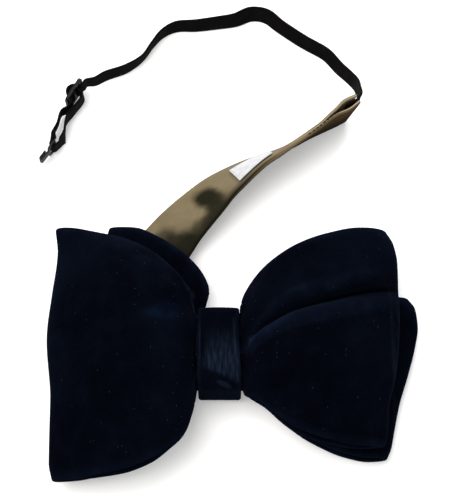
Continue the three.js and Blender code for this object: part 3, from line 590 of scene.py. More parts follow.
FRONT_RIGHT = {
    "side": 1,
    "fold_start": 60,
    "rows": table(
        BOW_COLUMNS + " crease depth ridge",
        (0, 12.4, -12.4, 18.4, 18.4, 18.4, 14.6, 0, 0.5, 0, 0),
        (9.4, 12.6, -12.6, 18.5, 18.4, 18.2, 14.6, 0, 0.53, 0.2, 0),
        (11, 18.3, -16.8, 20.6, 19.6, 17.9, 15.0, 1.6, 0.45, 0.5, 0.4),
        (15, 26.4, -18, 24.2, 22.0, 17.8, 15.2, 0.6, 0.51, 4.0, 2.2),
        (22, 33.6, -24.4, 27.6, 24.4, 19.6, 14.4, 0, 0.585, 6.4, 2.3),
        (31, 39.2, -30.8, 29.0, 24.8, 21.0, 13.6, 0, 0.637, 6.4, 1.9),
        (43, 44.1, -34.8, 27.6, 23.8, 20.7, 13.1, 0, 0.66, 5.4, 1.5),
        (56, 47.2, -36.4, 24.0, 21.6, 18.2, 12.3, 0, 0.69, 4.0, 1.0),
        (68, 47.8, -36, 20.4, 18.4, 15.2, 11.4, 0, 0.715, 2.6, 0.5),
    ),
    "reach": table(
        "across out",
        (0, 62.2), (0.05, 63), (0.17, 63.8), (0.3, 66.4), (0.42, 67.9), (0.6, 68.8), (0.85, 68.6),
        (0.94, 67.4), (1, 64.8),
    ),
}
BACK_LEFT = {
    "side": -1,
    "fold_start": 40,
    "rows": table(
        BOW_COLUMNS,
        (0, 12.4, -12.4, 11.2, 11.2, 11.2, 8.0, 0),
        (9, 12.6, -12.6, 11.2, 11.2, 11.2, 8.0, 0),
        (9.8, 15.6, -18.6, 11.1, 11.2, 11.0, 8.0, 0.6),
        (10.8, 20.8, -20.6, 11.0, 11.3, 10.6, 7.9, 5),
        (12.4, 27, -21.4, 10.7, 11.4, 10.4, 7.8, 8),
        (15, 33.4, -21.8, 10.3, 11.2, 10.1, 7.6, 7.6),
        (20, 40.4, -22, 10.0, 10.7, 9.9, 7.3, 6.2),
        (27, 47.2, -22.2, 9.8, 10.3, 9.7, 7.1, 3.2),
        (35, 51.6, -22.4, 9.6, 10.1, 9.6, 7.0, 0.6),
        (46, 52.2, -22.6, 9.5, 9.8, 9.5, 6.9, 0),
    ),
    "reach": table(
        "across out",
        (0, 48), (0.3, 50), (0.7, 46.4), (0.93, 43.8), (1, 42.4),
    ),
}
BACK_RIGHT = {
    "side": 1,
    "fold_start": 66,
    "rows": table(
        BOW_COLUMNS,
        (0, 12.4, -12.4, 11.2, 11.2, 11.2, 8.0, 0),
        (9.4, 12.6, -12.6, 11.2, 11.2, 11.2, 8.0, 0),
        (12, 12.3, -15.4, 11.1, 11.1, 11.2, 7.9, 0),
        (18, 15.8, -19.4, 10.9, 10.9, 11.2, 7.5, 0),
        (26, 18.8, -25.9, 10.6, 10.6, 11.0, 6.8, 0),
        (38, 21.6, -33.1, 10.1, 10.1, 10.4, 4.6, 0),
        (52, 22.8, -37.5, 9.4, 9.4, 9.6, 2.6, 0),
        (66, 24.0, -39.2, 8.6, 8.6, 8.8, 1.4, 0),
        (77, 23.6, -39.2, 8.0, 8.0, 8.2, 1.2, 0),
    ),
    "reach": table(
        "across out",
        (0, 63.6), (0.06, 65.2), (0.16, 66.5), (0.34, 69), (0.52, 72.6), (0.7, 75.7), (0.83, 77.1),
        (0.94, 76.4), (1, 73.8),
    ),
}

# %% The cloth of a wing
NEAR_END = 18
NEAR_STEP = 0.6
FAR_STEP = 1.5
FOLD_STEPS = 14
DENT_HEIGHT = 0.9
DENT_SIZE = 26
DENT_SEED = 11
DENT_FROM, DENT_FULL = 9, 24


def stations(wing):
    """How far out each line of a ply lies, and how much of the gap between the plies is left."""
    near = np.arange(0, NEAR_END, NEAR_STEP)
    fold = wing["fold_start"]
    far = np.linspace(NEAR_END, fold, round((fold - NEAR_END) / FAR_STEP), endpoint=False)
    turn = np.linspace(0, math.pi / 2, FOLD_STEPS + 1)
    full = wing["rows"][-1]["out"]
    out = np.concatenate([near, far, fold + (full - fold) * np.sin(turn)])
    close = np.concatenate([np.ones(len(near) + len(far)), np.cos(turn)])
    return out, close


def ply(wing, sign, across):
    """One ply of a wing as a grid of points, from the knot out to the middle of the fold."""
    rows, reach = Profile(wing["rows"], "out"), Profile(wing["reach"], "across")
    out, close = stations(wing)
    at = {name: rows.at(name, out)[:, None] for name in wing["rows"][0]}
    v, out, close = across[None, :], out[:, None], close[:, None]
    stretch = 1 + (reach.at("out", v) / rows.last - 1) * (out / rows.last) ** 2
    dome = 1 - np.abs(2 * v - 1) ** DOME_POWER
    front = at["bottom_rim"] * (1 - v) + at["top_rim"] * v
    front = front + (at["crown"] - (at["top_rim"] + at["bottom_rim"]) / 2) * dome
    if "depth" in at:
        off = v - at["crease"]
        width = np.where(off > 0, CREASE["above"], CREASE["below"])
        off_roll = (off + CREASE["roll_below"]) / CREASE["roll_width"]
        front = front + at["ridge"] * np.exp(-off_roll ** 2) - at["depth"] * np.exp(-(off / width) ** 2)
    middle, half = (front + at["under"]) / 2, (front - at["under"]) / 2
    fade = 1 - smooth_step(out, 0, GATHER_FADE)
    gather = GATHER_HEIGHT * fade * np.sin(2 * math.pi * GATHER_COUNT * v)
    x = wing["side"] * (out * stretch - at["lean"] * v ** CURL_POWER)
    y = at["bottom"] * (1 - v) + at["top"] * v
    z = middle + sign * half * close + gather
    sheet = np.stack(np.broadcast_arrays(x, y, z), axis=-1)
    plan_only = sheet * (1, 1, 0)
    lift = DENT_HEIGHT * (1 + np.clip(soft_waves(plan_only, DENT_SIZE, DENT_SEED), -1, 1)) / 2
    sheet[..., 2] += lift * smooth_step(out, DENT_FROM, DENT_FULL)
    return sheet


def bow_sheet(left, right, across_count):
    """The endless strip: out to the left in front, back behind, out to the right and back."""
    across = np.linspace(0, 1, across_count)
    runs = []
    for wing, first in ((left, 1), (right, -1)):
        runs += [ply(wing, first, across), ply(wing, -first, across)[-2:0:-1]]
    return np.concatenate(runs)


# %% Front bow and back bow
FRONT_ACROSS = 78
BACK_ACROSS = 56

front_sheet = bow_sheet(FRONT_LEFT, FRONT_RIGHT, FRONT_ACROSS)
back_sheet = bow_sheet(BACK_LEFT, BACK_RIGHT, BACK_ACROSS)
wing_velvet = velvet("wing_velvet")
front_bow = cloth_piece("front_bow_velvet", thicken(front_sheet, FRONT_WALL), True, wing_velvet)
back_bow = cloth_piece("back_bow_velvet", thicken(back_sheet, BACK_WALL), True, wing_velvet)

# %% [markdown]
# ## The knot
# A short band of the same velvet goes round the pinched middles. Its side edges are folded under
# and rounded, and the cloth between them is pulled into soft upright pleats.

# %% Sizes of the knot
KNOT_WALL = 2.4
KNOT_HALF_HEIGHT = 16.6
KNOT_FRONT = 23.8
KNOT_CORNER = 5
KNOT_CROWN = 0.9
KNOT_EDGES = table(
    "y left right",
    (-17, -7.6, 8.9), (-8, -7.9, 8.6), (0, -8.2, 8.1), (8, -7.9, 7.7), (17, -7.4, 8.4),
)
KNOT_LIP = KNOT_WALL * RIM_BULGE / 2
KNOT_ACROSS = 40


def rounded_loop(half_y, low, high, radius, spacing):
    """Points of a rounded rectangle in Y and Z, evenly spaced, from the middle of its low side."""
    side, rise = half_y - radius, high - low - 2 * radius
    arc = math.pi / 2 * radius
    total = 4 * side + 2 * rise + 4 * arc
    points = []
    for s in np.linspace(0, total, round(total / spacing), endpoint=False):
        lengths = (side, arc, rise, arc, 2 * side, arc, rise, arc, side)
        k = 0
        while s >= lengths[k]:
            s -= lengths[k]
            k += 1
        turn = s / radius
        points.append([
            (s, low),
            (side + radius * math.sin(turn), low + radius * (1 - math.cos(turn))),
            (half_y, low + radius + s),
            (side + radius * math.cos(turn), high - radius + radius * math.sin(turn)),
            (side - s, high),
            (-side - radius * math.sin(turn), high - radius + radius * math.cos(turn)),
            (-half_y, high - radius - s),
            (-side - radius * math.cos(turn), low + radius - radius * math.sin(turn)),
            (-side + s, low),
        ][k])
    return np.array(points)


def knot_sheet():
    inset = KNOT_WALL / 2
    loop = rounded_loop(KNOT_HALF_HEIGHT - inset, inset, KNOT_FRONT - inset, KNOT_CORNER, 0.5)
    y, z = loop[:, :1], loop[:, 1:]
    edges = Profile(KNOT_EDGES, "y")
    across = np.linspace(0, 1, KNOT_ACROSS)[None, :]
    left = edges.at("left", y) + KNOT_LIP
    right = edges.at("right", y) - KNOT_LIP
    front = smooth_step(z, KNOT_FRONT / 2, KNOT_FRONT - inset)
    crown = KNOT_CROWN * front * (1 - (2 * across - 1) ** 2)
    x = left * (1 - across) + right * across
    return np.stack(np.broadcast_arrays(x, y, z + crown), axis=-1)


knot = cloth_piece("knot_velvet", thicken(knot_sheet(), KNOT_WALL), True, velvet("knot_velvet", crushed_sheen=1.0))

# %% Hand the velvet over
for piece, node in ((front_bow, "front_bow"), (back_bow, "back_bow"), (knot, "knot")):
    hand_over(piece, "navy_velvet", node)

# %% [markdown]
# ## The neckband
# The neckband is a strip of satin, two plies sewn together along their edges, 22 mm wide. It runs
# flat through the knot, folds under itself behind the left wing, and comes out towards the upper
# right with its lining side up. From there it slowly turns on to its edge, where the two plies
# part at the open end and let the elastic out. The section of the band is worked out once, and
# rings of it are set along the run, round the fold and along the route.

# %% Sizes of the neckband
GAP = 0.3
BAND_THICK = 2.4
BAND_WIDTH = 22
BAND_FOLD_RADIUS = (BAND_THICK + GAP) / 2
BAND_KNOT_Z = KNOT_WALL + GAP + BAND_THICK / 2
BAND_SEAM_GROOVE = 0.4
BAND_LIP = 0.5
BAND_SEWN = 2.2
BAND_FOLD_BACK = 32
BAND_FOLD_EASE = table("place lean", (0, 1), (0.3, 0.7), (0.62, 0.2), (1, 0))
BAND_THROUGH_KNOT = np.array([(24, -0.4), (9, 0), (-8, 0.3), (-17, 1.4), (-26, 3.8)])
BAND_ROUTE = table(
    "place x y turn part slant",
    (0, -38.1, 44.8, 0, 0, 0),
    (1, -30.1, 53.9, 8, 0, 0),
    (2, -22.8, 62, 19, 0, 0),
    (3, -14.2, 69.9, 28, 0, 0),
    (4, -5.2, 76.9, 37.5, 0, 0),
    (5, 3.7, 81.8, 47.5, 0, 0),
    (6, 12.6, 85.7, 57.5, 0, 0),
    (7, 21.4, 88.7, 66, 0, 0),
    (8, 29.5, 92.2, 72, 0, 0),
    (9, 36.6, 96.3, 75, 0, 1),
    (10, 43.3, 99.6, 81, 0.8, 2),
    (11, 47.9, 101.9, 83.5, 3, 3),
    (12, 51.6, 104, 84, 1.8, 3.8),
)
UP = np.array([0.0, 0.0, 1.0])
band_rows = Profile(BAND_ROUTE, "place")
band_places = np.array([(row["x"], row["y"], 0) for row in BAND_ROUTE], float)


def tipped_across(heading, turn):
    """The direction to the right of each heading, tipped up by a turn in degrees."""
    side = np.stack([heading[:, 1], -heading[:, 0], np.zeros(len(heading))], axis=1)
    turn = np.radians(turn)[:, None]
    return unit(side) * np.cos(turn) + UP * np.sin(turn)


# %% The section of the band
FACE_STEPS = 16
POCKET_STEPS = 6


def band_section(part):
    """Points (u, v) round the two plies: u from the lower edge to the raised one, v through them."""
    half = BAND_THICK / 2
    opened = smooth_step(part, 0, 2)
    valley = (BAND_WIDTH - BAND_SEAM_GROOVE) * (1 - opened) + BAND_SEWN * opened

    def spread(u):
        return part / 2 * smooth_step(u, 0, BAND_WIDTH)

    faces = np.linspace(BAND_WIDTH - BAND_LIP, BAND_LIP, FACE_STEPS)
    pocket = np.linspace(BAND_WIDTH - BAND_LIP / 2, valley, POCKET_STEPS, endpoint=False)
    share = np.linspace(1, 0, POCKET_STEPS, endpoint=False)
    tip = (BAND_WIDTH, half * 0.55 + spread(BAND_WIDTH))
    upper = [tip] + [(u, half + spread(u)) for u in faces] + [(BAND_LIP * 0.3, 0.85), (0, 0.4)]
    inner = [(u, 0.1 * f + spread(u)) for u, f in zip(pocket, share)] + [(valley, 0.05)]
    lower = [(u, -v) for u, v in upper[::-1]]
    return np.array(upper + lower + [(u, -v) for u, v in inner] + inner[::-1])


def route_at(place):
    """The lower edge, heading, across direction and normal of the band at places on its route."""
    edge, heading = curve_through(band_places, place)
    across = tipped_across(heading, band_rows.at("turn", place))
    return edge, heading, across, np.cross(across, heading)


def route_rings(places):
    """Rings of the band along its route, each standing on its lowest point."""
    edge, heading, across, normal = route_at(places)
    rings = []
    for i, place in enumerate(places):
        u, v = band_section(band_rows.at("part", place)).T[:, :, None]
        slant = band_rows.at("slant", place)
        ring = edge[i] + across[i] * u + normal[i] * v + heading[i] * slant * u / BAND_WIDTH
        rings.append(ring - UP * ring[:, 2].min())
    return rings


# %% The run through the knot and the fold under itself
KNOT_RUN_STEPS = 30
FOLD_RINGS = 22
ROUTE_STEPS = 110


def plan(vector):
    return unit(np.array([vector[0], vector[1], 0.0]))


def fold_rings():
    first, second = band_places[:2]
    out = plan(second - first)
    right = np.array([out[1], -out[0], 0])
    corner = first + UP * BAND_KNOT_Z + right * BAND_WIDTH / 2 - out * BAND_FOLD_BACK
    start = np.append(BAND_THROUGH_KNOT[-1], BAND_KNOT_Z)
    into = plan(corner - start)
    into_across = np.array([-into[1], into[0], 0])
    crease = unit(into + out)
    away = np.array([crease[1], -crease[0], 0])
    away = away if away @ into > 0 else -away
    lean = -(into_across @ away) / (into @ away)
    half_turn = math.pi * BAND_FOLD_RADIUS
    flat_run = np.hypot(*(corner - start)[:2])
    u, v = band_section(0).T[:, :, None]
    offset = u - BAND_WIDTH / 2

    def ring(along, leaning):
        flat = corner + into * (along + leaning * lean * offset) + into_across * offset
        past = np.maximum((flat - corner) @ away + half_turn, 0)[:, None]
        angle = np.minimum(past / BAND_FOLD_RADIUS, math.pi)
        beyond = np.maximum(past - half_turn, 0)
        level = away * (BAND_FOLD_RADIUS * np.sin(angle) - beyond - past - v * np.sin(angle))
        return flat + level - UP * (BAND_FOLD_RADIUS * (1 - np.cos(angle)) + v * np.cos(angle))

    places = np.linspace(0, len(BAND_THROUGH_KNOT) - 1, KNOT_RUN_STEPS, endpoint=False)
    line, heading = curve_through(np.column_stack([BAND_THROUGH_KNOT, [BAND_KNOT_Z] * 5]), places)
    left = -tipped_across(heading, np.zeros(len(heading)))
    rings = [line[i] + left[i] * offset - UP * v for i in range(len(line))]
    fold_start = -half_turn / (into @ away)
    for f in np.linspace(0, 1, FOLD_RINGS // 2, endpoint=False):
        rings.append(ring(-flat_run + (fold_start + flat_run) * f, f))
    rings += [ring(fold_start * (1 - f), 1) for f in np.linspace(0, 1, FOLD_RINGS, endpoint=False)]
    ease = Profile(BAND_FOLD_EASE, "place")
    for f in np.linspace(0, 0.8, FOLD_RINGS // 2):
        rings.append(ring(BAND_FOLD_BACK * f, ease.at("lean", f)))
    return rings


places = np.linspace(0, len(BAND_ROUTE) - 1, ROUTE_STEPS)
band_rings = np.array(fold_rings() + route_rings(places))
print("neckband rings:", len(band_rings))

# %% [markdown]
# ## Satin
# Satin shows long floats of thread side by side, so it is smooth and shines more along one
# direction. This one is a dull taupe. A large dark stain, a streak from it down to the seam and
# softer ones near the bow mark it; the streak and the spots near the bow are partly stain and
# partly painted shade. They are rows of a table, placed where the photograph shows them, with
# outlines that wander on noise. Painted shade darkens the seam, from the bow to the label, lines
# the grooves along both edges near the bow, and darkens the outer face towards the floor; the
# inside of the open end is painted lighter against its shade. The weave is a fine ripple across
# the band and a slower one along it.

# %% The satin finish
SATIN_LIGHT = (0.166, 0.130, 0.072)
SATIN_DEEP = (0.112, 0.088, 0.049)
# The colour of the stains, also used for painted shade near the bow, along the seam and in the edge grooves.
SATIN_STAIN_AND_SHADE = (0.0125, 0.0118, 0.0070)
# Painted shade on the outer face of the band.
SATIN_OUTER_PAINTED_SHADE = (0.050, 0.031, 0.0180)
# Painted light inside the open end, against its shade.
SATIN_POCKET_PAINTED_LIGHT = (0.30, 0.24, 0.15)
# Painted shade where the outer face meets the floor.
SATIN_PAINTED_SHADE_AT_FLOOR = (0.020, 0.0155, 0.0100)
INNER_FACE_END = 0.0236
FAR_LIP_START = 0.0455
POCKET_START = 0.0465
SOFT_EDGE = 0.0006
DARK_SPOT_WANDER = 0.0036
# Dark spots: a large stain, a streak from it to the seam and softer spots near the bow; the streak and the
# spots near the bow are partly stain and partly painted shade.
STAINS_AND_SHADE = table(
    "x y radius edge strength",
    (-5.1, 66.8, 4.6, 2.6, 1),
    (-1.9, 64.8, 3.8, 2.6, 0.9),
    (-0.9, 61.6, 3.0, 2.6, 0.85),
    (-2.3, 58.6, 2.2, 2.6, 0.8),
    (-4.0, 55.6, 1.8, 2.8, 0.8),
    (-7.4, 53.4, 2.2, 3, 0.75),
    (-21.6, 51.4, 3.0, 3.2, 0.75),
    (-17.0, 48.4, 3.8, 3.8, 0.9),
    (-10.8, 47.6, 4.2, 3.6, 1),
    (-13.6, 42.8, 6, 4, 1),
)


def free_of_stain_and_shade(shader, vector, x, y):
    """1 where the satin is clear of stains and of painted shade, and 0 in the middle of a dark spot, with
    wandering outlines.
    """
    x, y = (part + (shader.noise(vector, 0.005, 2.0, seed) - 0.5) * DARK_SPOT_WANDER
            for part, seed in ((x, 1.0), (y, 9.0)))
    unstained_unshaded = None
    for dark_spot in STAINS_AND_SHADE:
        away = ((x - dark_spot["x"] * MM) ** 2 + (y - dark_spot["y"] * MM) ** 2) ** 0.5
        inner, outer = dark_spot["radius"] * MM * 0.5, (dark_spot["radius"] + dark_spot["edge"]) * MM
        mark = 1 - away.step(outer, inner) * dark_spot["strength"]
        unstained_unshaded = mark if unstained_unshaded is None else unstained_unshaded * mark
    return unstained_unshaded


def satin():
    shader = Shader("taupe_satin")
    vector, (x, y, z) = shader.place()
    cloth, (along, across) = shader.cloth()
    unstained_unshaded = free_of_stain_and_shade(shader, vector, x, y)
    # Painted shade along the seam, from the bow up to the label.
    unstained_unshaded = unstained_unshaded * (1 - across.step(0.0045, 0.0008) * y.step(0.080, 0.060) * 0.85)
    cloudy = shader.noise(vector, 0.012, 3.0, 2.0).step(0.3, 0.7)
    floats = shader.noise(shader.node("Mapping", None, {"Vector": cloth, "Scale": (0.12, 1, 1)}).outputs[0],
                          0.0005, 2.0, 3.0)
    body = shader.blend(cloudy * 0.6 + floats * 0.4, SATIN_DEEP, SATIN_LIGHT)
    inner_face = across.step(INNER_FACE_END, INNER_FACE_END - 0.001)
    # Painted shade on the outer face, darker towards the floor.
    shaded = shader.blend(z.step(0.004, 0.019), SATIN_PAINTED_SHADE_AT_FLOOR, SATIN_OUTER_PAINTED_SHADE)
    color = shader.blend(inner_face, shaded, shader.blend(unstained_unshaded, SATIN_STAIN_AND_SHADE, body))
    lip = (z - 0.0196 - x * 0.012).step(0, 0.0012) + (across - FAR_LIP_START).step(0, SOFT_EDGE)
    pocket = (across - POCKET_START).step(0, SOFT_EDGE)
    # Painted light: the inside of the open end is lightened against its shade.
    opening = pocket * x.step(0.012, 0.034)
    # Painted shade: dark lines in the grooves along both edges, fading out away from the bow.
    rim = across.step(0.0008, 0.0004) + (across - 0.0436).step(0, SOFT_EDGE)
    rim = rim.at_most(1) * x.step(0.026, 0.004)
    # The raised edge and the far lip take back much of the body colour, lifting the painted shade there.
    color = shader.blend(lip.at_most(1) * (1 - pocket) * 0.55, color, body)
    color = shader.blend(rim * 0.8, shader.blend(opening, color, SATIN_POCKET_PAINTED_LIGHT), SATIN_STAIN_AND_SHADE)
    rows = across.wave(0.00042)
    picks = along.wave(0.0011)
    weave = shader.bump(rows * 0.6 + picks * 0.4, 0.00003)
    slub = shader.bump(floats, 0.00006, weave)
    creases = shader.bump(shader.noise(vector, 0.009, 2.0, 7.0), 0.0012, slub)
    return shader.finish({
        "Base Color": color,
        "Roughness": 0.68 - unstained_unshaded * 0.2,
        "Normal": creases,
        "Specular IOR Level": 0.0,
        "Coat Weight": inner_face * unstained_unshaded * 0.2,
        "Coat Roughness": 0.4,
    })


neckband = cloth_piece("neckband_satin", band_rings, False, satin())
hand_over(neckband, "taupe_satin", "neckband")

# %% [markdown]
# ## The label
# A woven label lies on the lining side of the band. It stays bare. It is made like the
# band's own rings, as a thin pad on the route with rounded edges, capped ends and the
# fine rib of a woven tape.

# %% The blank label
LABEL_THICK = 0.6
LABEL = {"from_row": 4.92, "to_row": 6.75, "low": 6.4, "high": 20}
LABEL_STEPS = 60
LABEL_ACROSS = 20


def white_label():
    shader = Shader("white_label")
    vector, _ = shader.place()
    cloth, (along, across) = shader.cloth()
    ribs = along.wave(0.00055)
    threads = across.wave(0.0004)
    dust = shader.noise(vector, 0.003, 3.0, 4.0).step(0.3, 0.8)
    color = shader.blend(dust, (0.47, 0.475, 0.49), (0.37, 0.365, 0.36))
    return shader.finish({
        "Base Color": color,
        "Roughness": 0.75,
        "Normal": shader.bump(ribs * 0.5 + threads * 0.5, 0.00004),
        "Specular IOR Level": 0.3,
        "Sheen Weight": 0.1,
    })


def label_sheet():
    place = np.linspace(LABEL["from_row"], LABEL["to_row"], LABEL_STEPS)
    edge, heading, across, normal = route_at(place)
    lift = BAND_THICK / 2 * np.cos(np.radians(band_rows.at("turn", place)))[:, None]
    inset = LABEL_THICK * RIM_BULGE / 2
    u = np.linspace(LABEL["low"] + inset, LABEL["high"] - inset, LABEL_ACROSS)[None, :, None]
    middle = BAND_THICK / 2 + GAP + LABEL_THICK / 2
    return (edge + UP * lift + normal * middle)[:, None] + across[:, None] * u


label = cloth_piece("blank_label", thicken(label_sheet(), LABEL_THICK, closed=False), False, white_label())
hand_over(label, "white_label", "care_label")

# %% [markdown]
# ## The elastic
# The strap is a flat braid of elastic, 6.5 mm wide. It leaves the band's mouth standing on its
# edge, sinks to the table and lies there on edge in loose bends. At its far end it goes through the
# slider, on to the hook, and back to the slider's middle bar. Its section has the lengthwise ribs
# of the braid.

# %% Sizes of the elastic
ELASTIC_WIDTH = 6.5
ELASTIC_THICK = 1.0
STRAP_CLEARANCE = 0.1
FITTING_CLEARANCE = 0.05
ELASTIC_ROUTE = table(
    "x y turn lift",
    (51.3, 101.7, 84, 14.6), (55, 103.7, 84, 14.5), (56.9, 106.5, 85, 13.2), (56.9, 111.2, 83, 9.8),
    (56.2, 115.8, 78, 6), (54.3, 119.9, 70, 3), (49.6, 126, 63, 0.7), (44.7, 132.2, 60, 0.1),
    (35.3, 138.3, 57, 0), (26, 145.1, 56, 0), (19.8, 150.4, 44, 0), (13.6, 151.4, 40, 0),
    (6.8, 148.4, 54, 0), (0, 147.1, 60, 0), (-9.6, 145.7, 66, 0), (-17.8, 145.1, 74, 0),
    (-23.4, 142, 84, 0), (-27.6, 136.8, 92, 0), (-31.6, 130.7, 94, 0), (-38.2, 125.8, 84, 0),
    (-46.6, 122.2, 80, 0.6), (-51, 119.4, 84, 1.2),
)
SLIDER = {"x": -59.3, "y": 113.6, "heading": -119, "turn": 88, "width": 9.6, "thick": 1.2}
SLIDER_STRAP_IN = table(
    "along out",
    (-6.6, -1.75), (-4.7, -1.6), (-3.3, -0.75), (-2.8, 0.6), (-1.9, 2), (0, 2.8), (1.9, 2),
    (2.8, 0.6), (3.3, -0.75), (4.7, -1.6), (7, -1.5),
)
SLIDER_STRAP_END = table(
    "along out",
    (7.4, -3.6), (4.8, -3.9), (2, -4.2), (-0.3, -3.9), (-1.3, -2.9), (-1.5, -1.6), (-1.45, -0.7),
    (-1.45, 0.1), (-0.9, 1.1), (0.1, 1.4), (1.05, 0.95), (1.4, 0.1),
)
LOOP_OUTWARD = table(
    "x y turn",
    (-64.3, 104.9, 96), (-65.9, 99.5, 98), (-67.9, 94.9, 98),
)
LOOP_RETURN = table(
    "x y turn",
    (-63.5, 92.9, 78), (-62.8, 96.6, 96), (-62.6, 100.3, 98), (-61, 104, 84),
)
HOOK = {"x": -67, "y": 90.5, "heading": -124, "turn": 92, "width": 9.2, "thick": 0.7}
HOOK_STRAP = table(
    "along out",
    (-4.2, 2.6), (-2.2, 2.2), (-0.5, 1.45), (0.8, 0.95), (1.32, 0), (0.8, -0.95), (-0.6, -1.3),
    (-2.4, -1.6),
)


# %% The strap's marks
def standing_marks(fitting, rows):
    """Marks of the strap inside a fitting that stands on edge: places and across directions."""
    heading, turn = math.radians(fitting["heading"]), math.radians(fitting["turn"])
    forward = np.array([math.cos(heading), math.sin(heading), 0])
    across = tipped_across(forward[None, :], np.array([fitting["turn"]]))[0]
    outward = np.cross(forward, across)
    height = (fitting["width"] * math.sin(turn) + fitting["thick"] * abs(math.cos(turn))) / 2
    centre = np.array([fitting["x"], fitting["y"], height + FITTING_CLEARANCE])
    return [(centre + forward * row["along"] + outward * row["out"], across) for row in rows], centre[2]


def route_marks(rows, direction=1, height=None):
    """Marks of the strap on the table top, or at a height of their own."""
    marks = []
    for i, row in enumerate(rows):
        before, after = rows[max(i - 1, 0)], rows[min(i + 1, len(rows) - 1)]
        heading = plan((after["x"] - before["x"], after["y"] - before["y"])) * direction
        turn = math.radians(row["turn"])
        rise = ELASTIC_WIDTH / 2 * math.sin(turn) + ELASTIC_THICK / 2 * abs(math.cos(turn))
        z = row.get("lift", 0) + rise + STRAP_CLEARANCE if height is None else height
        across = tipped_across(heading[None, :], np.array([row["turn"]]))[0]
        marks.append((np.array([row["x"], row["y"], z]), across))
    return marks


slider_in, slider_height = standing_marks(SLIDER, SLIDER_STRAP_IN)
slider_end, _ = standing_marks(SLIDER, SLIDER_STRAP_END)
hook_marks, _ = standing_marks(HOOK, HOOK_STRAP)
marks = route_marks(ELASTIC_ROUTE) + slider_in + route_marks(LOOP_OUTWARD, 1, slider_height)
marks += hook_marks + route_marks(LOOP_RETURN, -1, slider_height) + slider_end
strap_points = np.array([point for point, across in marks])
strap_across = np.array([across for point, across in marks])

# %% The strap's skin
RIB_COUNT = 7
RIB_HEIGHT = 0.09
STRAP_FACE_STEPS = 36
STRAP_STEPS_PER_MARK = 10


def strap_section():
    """The braid's section: ribs on both faces and rounded edges."""
    half = ELASTIC_WIDTH / 2
    u = np.linspace(-half + ELASTIC_THICK / 3, half - ELASTIC_THICK / 3, STRAP_FACE_STEPS)
    ribs = np.abs(np.sin(math.pi * RIB_COUNT * (u / ELASTIC_WIDTH + 0.5)))
    v = ELASTIC_THICK / 2 - RIB_HEIGHT * (1 - ribs)
    rim = np.radians([60, 25, -25, -60])
    high = np.stack([half - ELASTIC_THICK / 3 * (1 - np.cos(rim)), ELASTIC_THICK / 2 * np.sin(rim)], axis=1)
    face = np.stack([u, v], axis=1)
    return np.concatenate([face, high, face[::-1] * (1, -1), high[::-1] * (-1, 1)])


def strap_rings(points, across, section):
    place = np.linspace(0, len(points) - 1, (len(points) - 1) * STRAP_STEPS_PER_MARK + 1)
    line, heading = curve_through(points, place)
    k = np.minimum(place.astype(int), len(points) - 2)
    f = (place - k)[:, None]
    side = across[k] * (1 - f) + across[k + 1] * f
    side = unit(side - heading * (side * heading).sum(axis=1)[:, None])
    normal = np.cross(side, heading)
    u, v = section.T
    length = np.linalg.norm(np.diff(line, axis=0), axis=1).sum()
    return line[:, None] + side[:, None] * u[None, :, None] + normal[:, None] * v[None, :, None], length


def elastic_finish():
    shader = Shader("black_elastic")
    vector, _ = shader.place()
    cloth, (along, across) = shader.cloth()
    slant = (along * (2 * math.pi / 0.0013) + across * (2 * math.pi / 0.0019)).sine()
    other = (along * (2 * math.pi / 0.0013) - across * (2 * math.pi / 0.0019)).sine()
    braid = slant.at_least(other) * 0.5 + 0.5
    wear = shader.noise(vector, 0.006, 3.0, 2.0).step(0.45, 0.8)
    color = shader.blend(braid * 0.5 + wear * 0.5, (0.0010, 0.0008, 0.0009), (0.0046, 0.0038, 0.0042))
    return shader.finish({
        "Base Color": color,
        "Roughness": 0.85 - wear * 0.15,
        "Normal": shader.bump(braid, 0.00012),
        "Specular IOR Level": 0.04,
        "Sheen Weight": 0.0,
    })


rings, strap_length = strap_rings(strap_points, strap_across, strap_section())
elastic = cloth_piece("elastic_strap", rings, False, elastic_finish())
hand_over(elastic, "black_elastic", "elastic")
print("elastic length in mm:", round(strap_length, 1))

# %% [markdown]
# ## The slider, the hook and the eye
# These three are stamped and bent from sheet metal and coated black. Their solids have the right
# shape already, but every edge is razor sharp. A copy of each is welded, gets a small bevel like
# the one that tumbling and coating leave, and stands in its place.

# %% The metal fittings
BEVEL_WIDTH = 0.00018
BEVEL_STEPS = 3


def black_metal():
    shader = Shader("black_metal")
    vector, _ = shader.place()
    worn = shader.noise(vector, 0.0016, 4.0, 6.0).step(0.62, 0.78)
    grain = shader.noise(vector, 0.0004, 2.0, 2.0)
    color = shader.blend(worn * 0.5, (0.0022, 0.0020, 0.0023), (0.030, 0.028, 0.027))
    return shader.finish({
        "Base Color": color,
        "Roughness": 0.42 + grain * 0.16,
        "Metallic": worn * 0.3,
        "Normal": shader.bump(grain, 0.00003),
        "Specular IOR Level": 0.18,
    })


def softened_copy(node, name, material):
    """A welded and bevelled copy of a solid, as a new piece."""
    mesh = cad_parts[node].data.copy()
    mesh.name = name
    mesh.transform(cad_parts[node].matrix_world)
    welded = bmesh.new()
    welded.from_mesh(mesh)
    bmesh.ops.remove_doubles(welded, verts=welded.verts, dist=1e-6)
    bmesh.ops.dissolve_limit(welded, angle_limit=math.radians(1), verts=welded.verts, edges=welded.edges)
    sharp = [edge for edge in welded.edges if edge.calc_face_angle(0) > math.radians(25)]
    bmesh.ops.bevel(welded, geom=sharp, offset=BEVEL_WIDTH, segments=BEVEL_STEPS, profile=0.5,
                    affect="EDGES", clamp_overlap=True)
    welded.to_mesh(mesh)
    welded.free()
    mesh.materials.clear()
    mesh.materials.append(material)
    mesh.polygons.foreach_set("use_smooth", np.ones(len(mesh.polygons), bool))
    return put_in_scene(name, mesh)


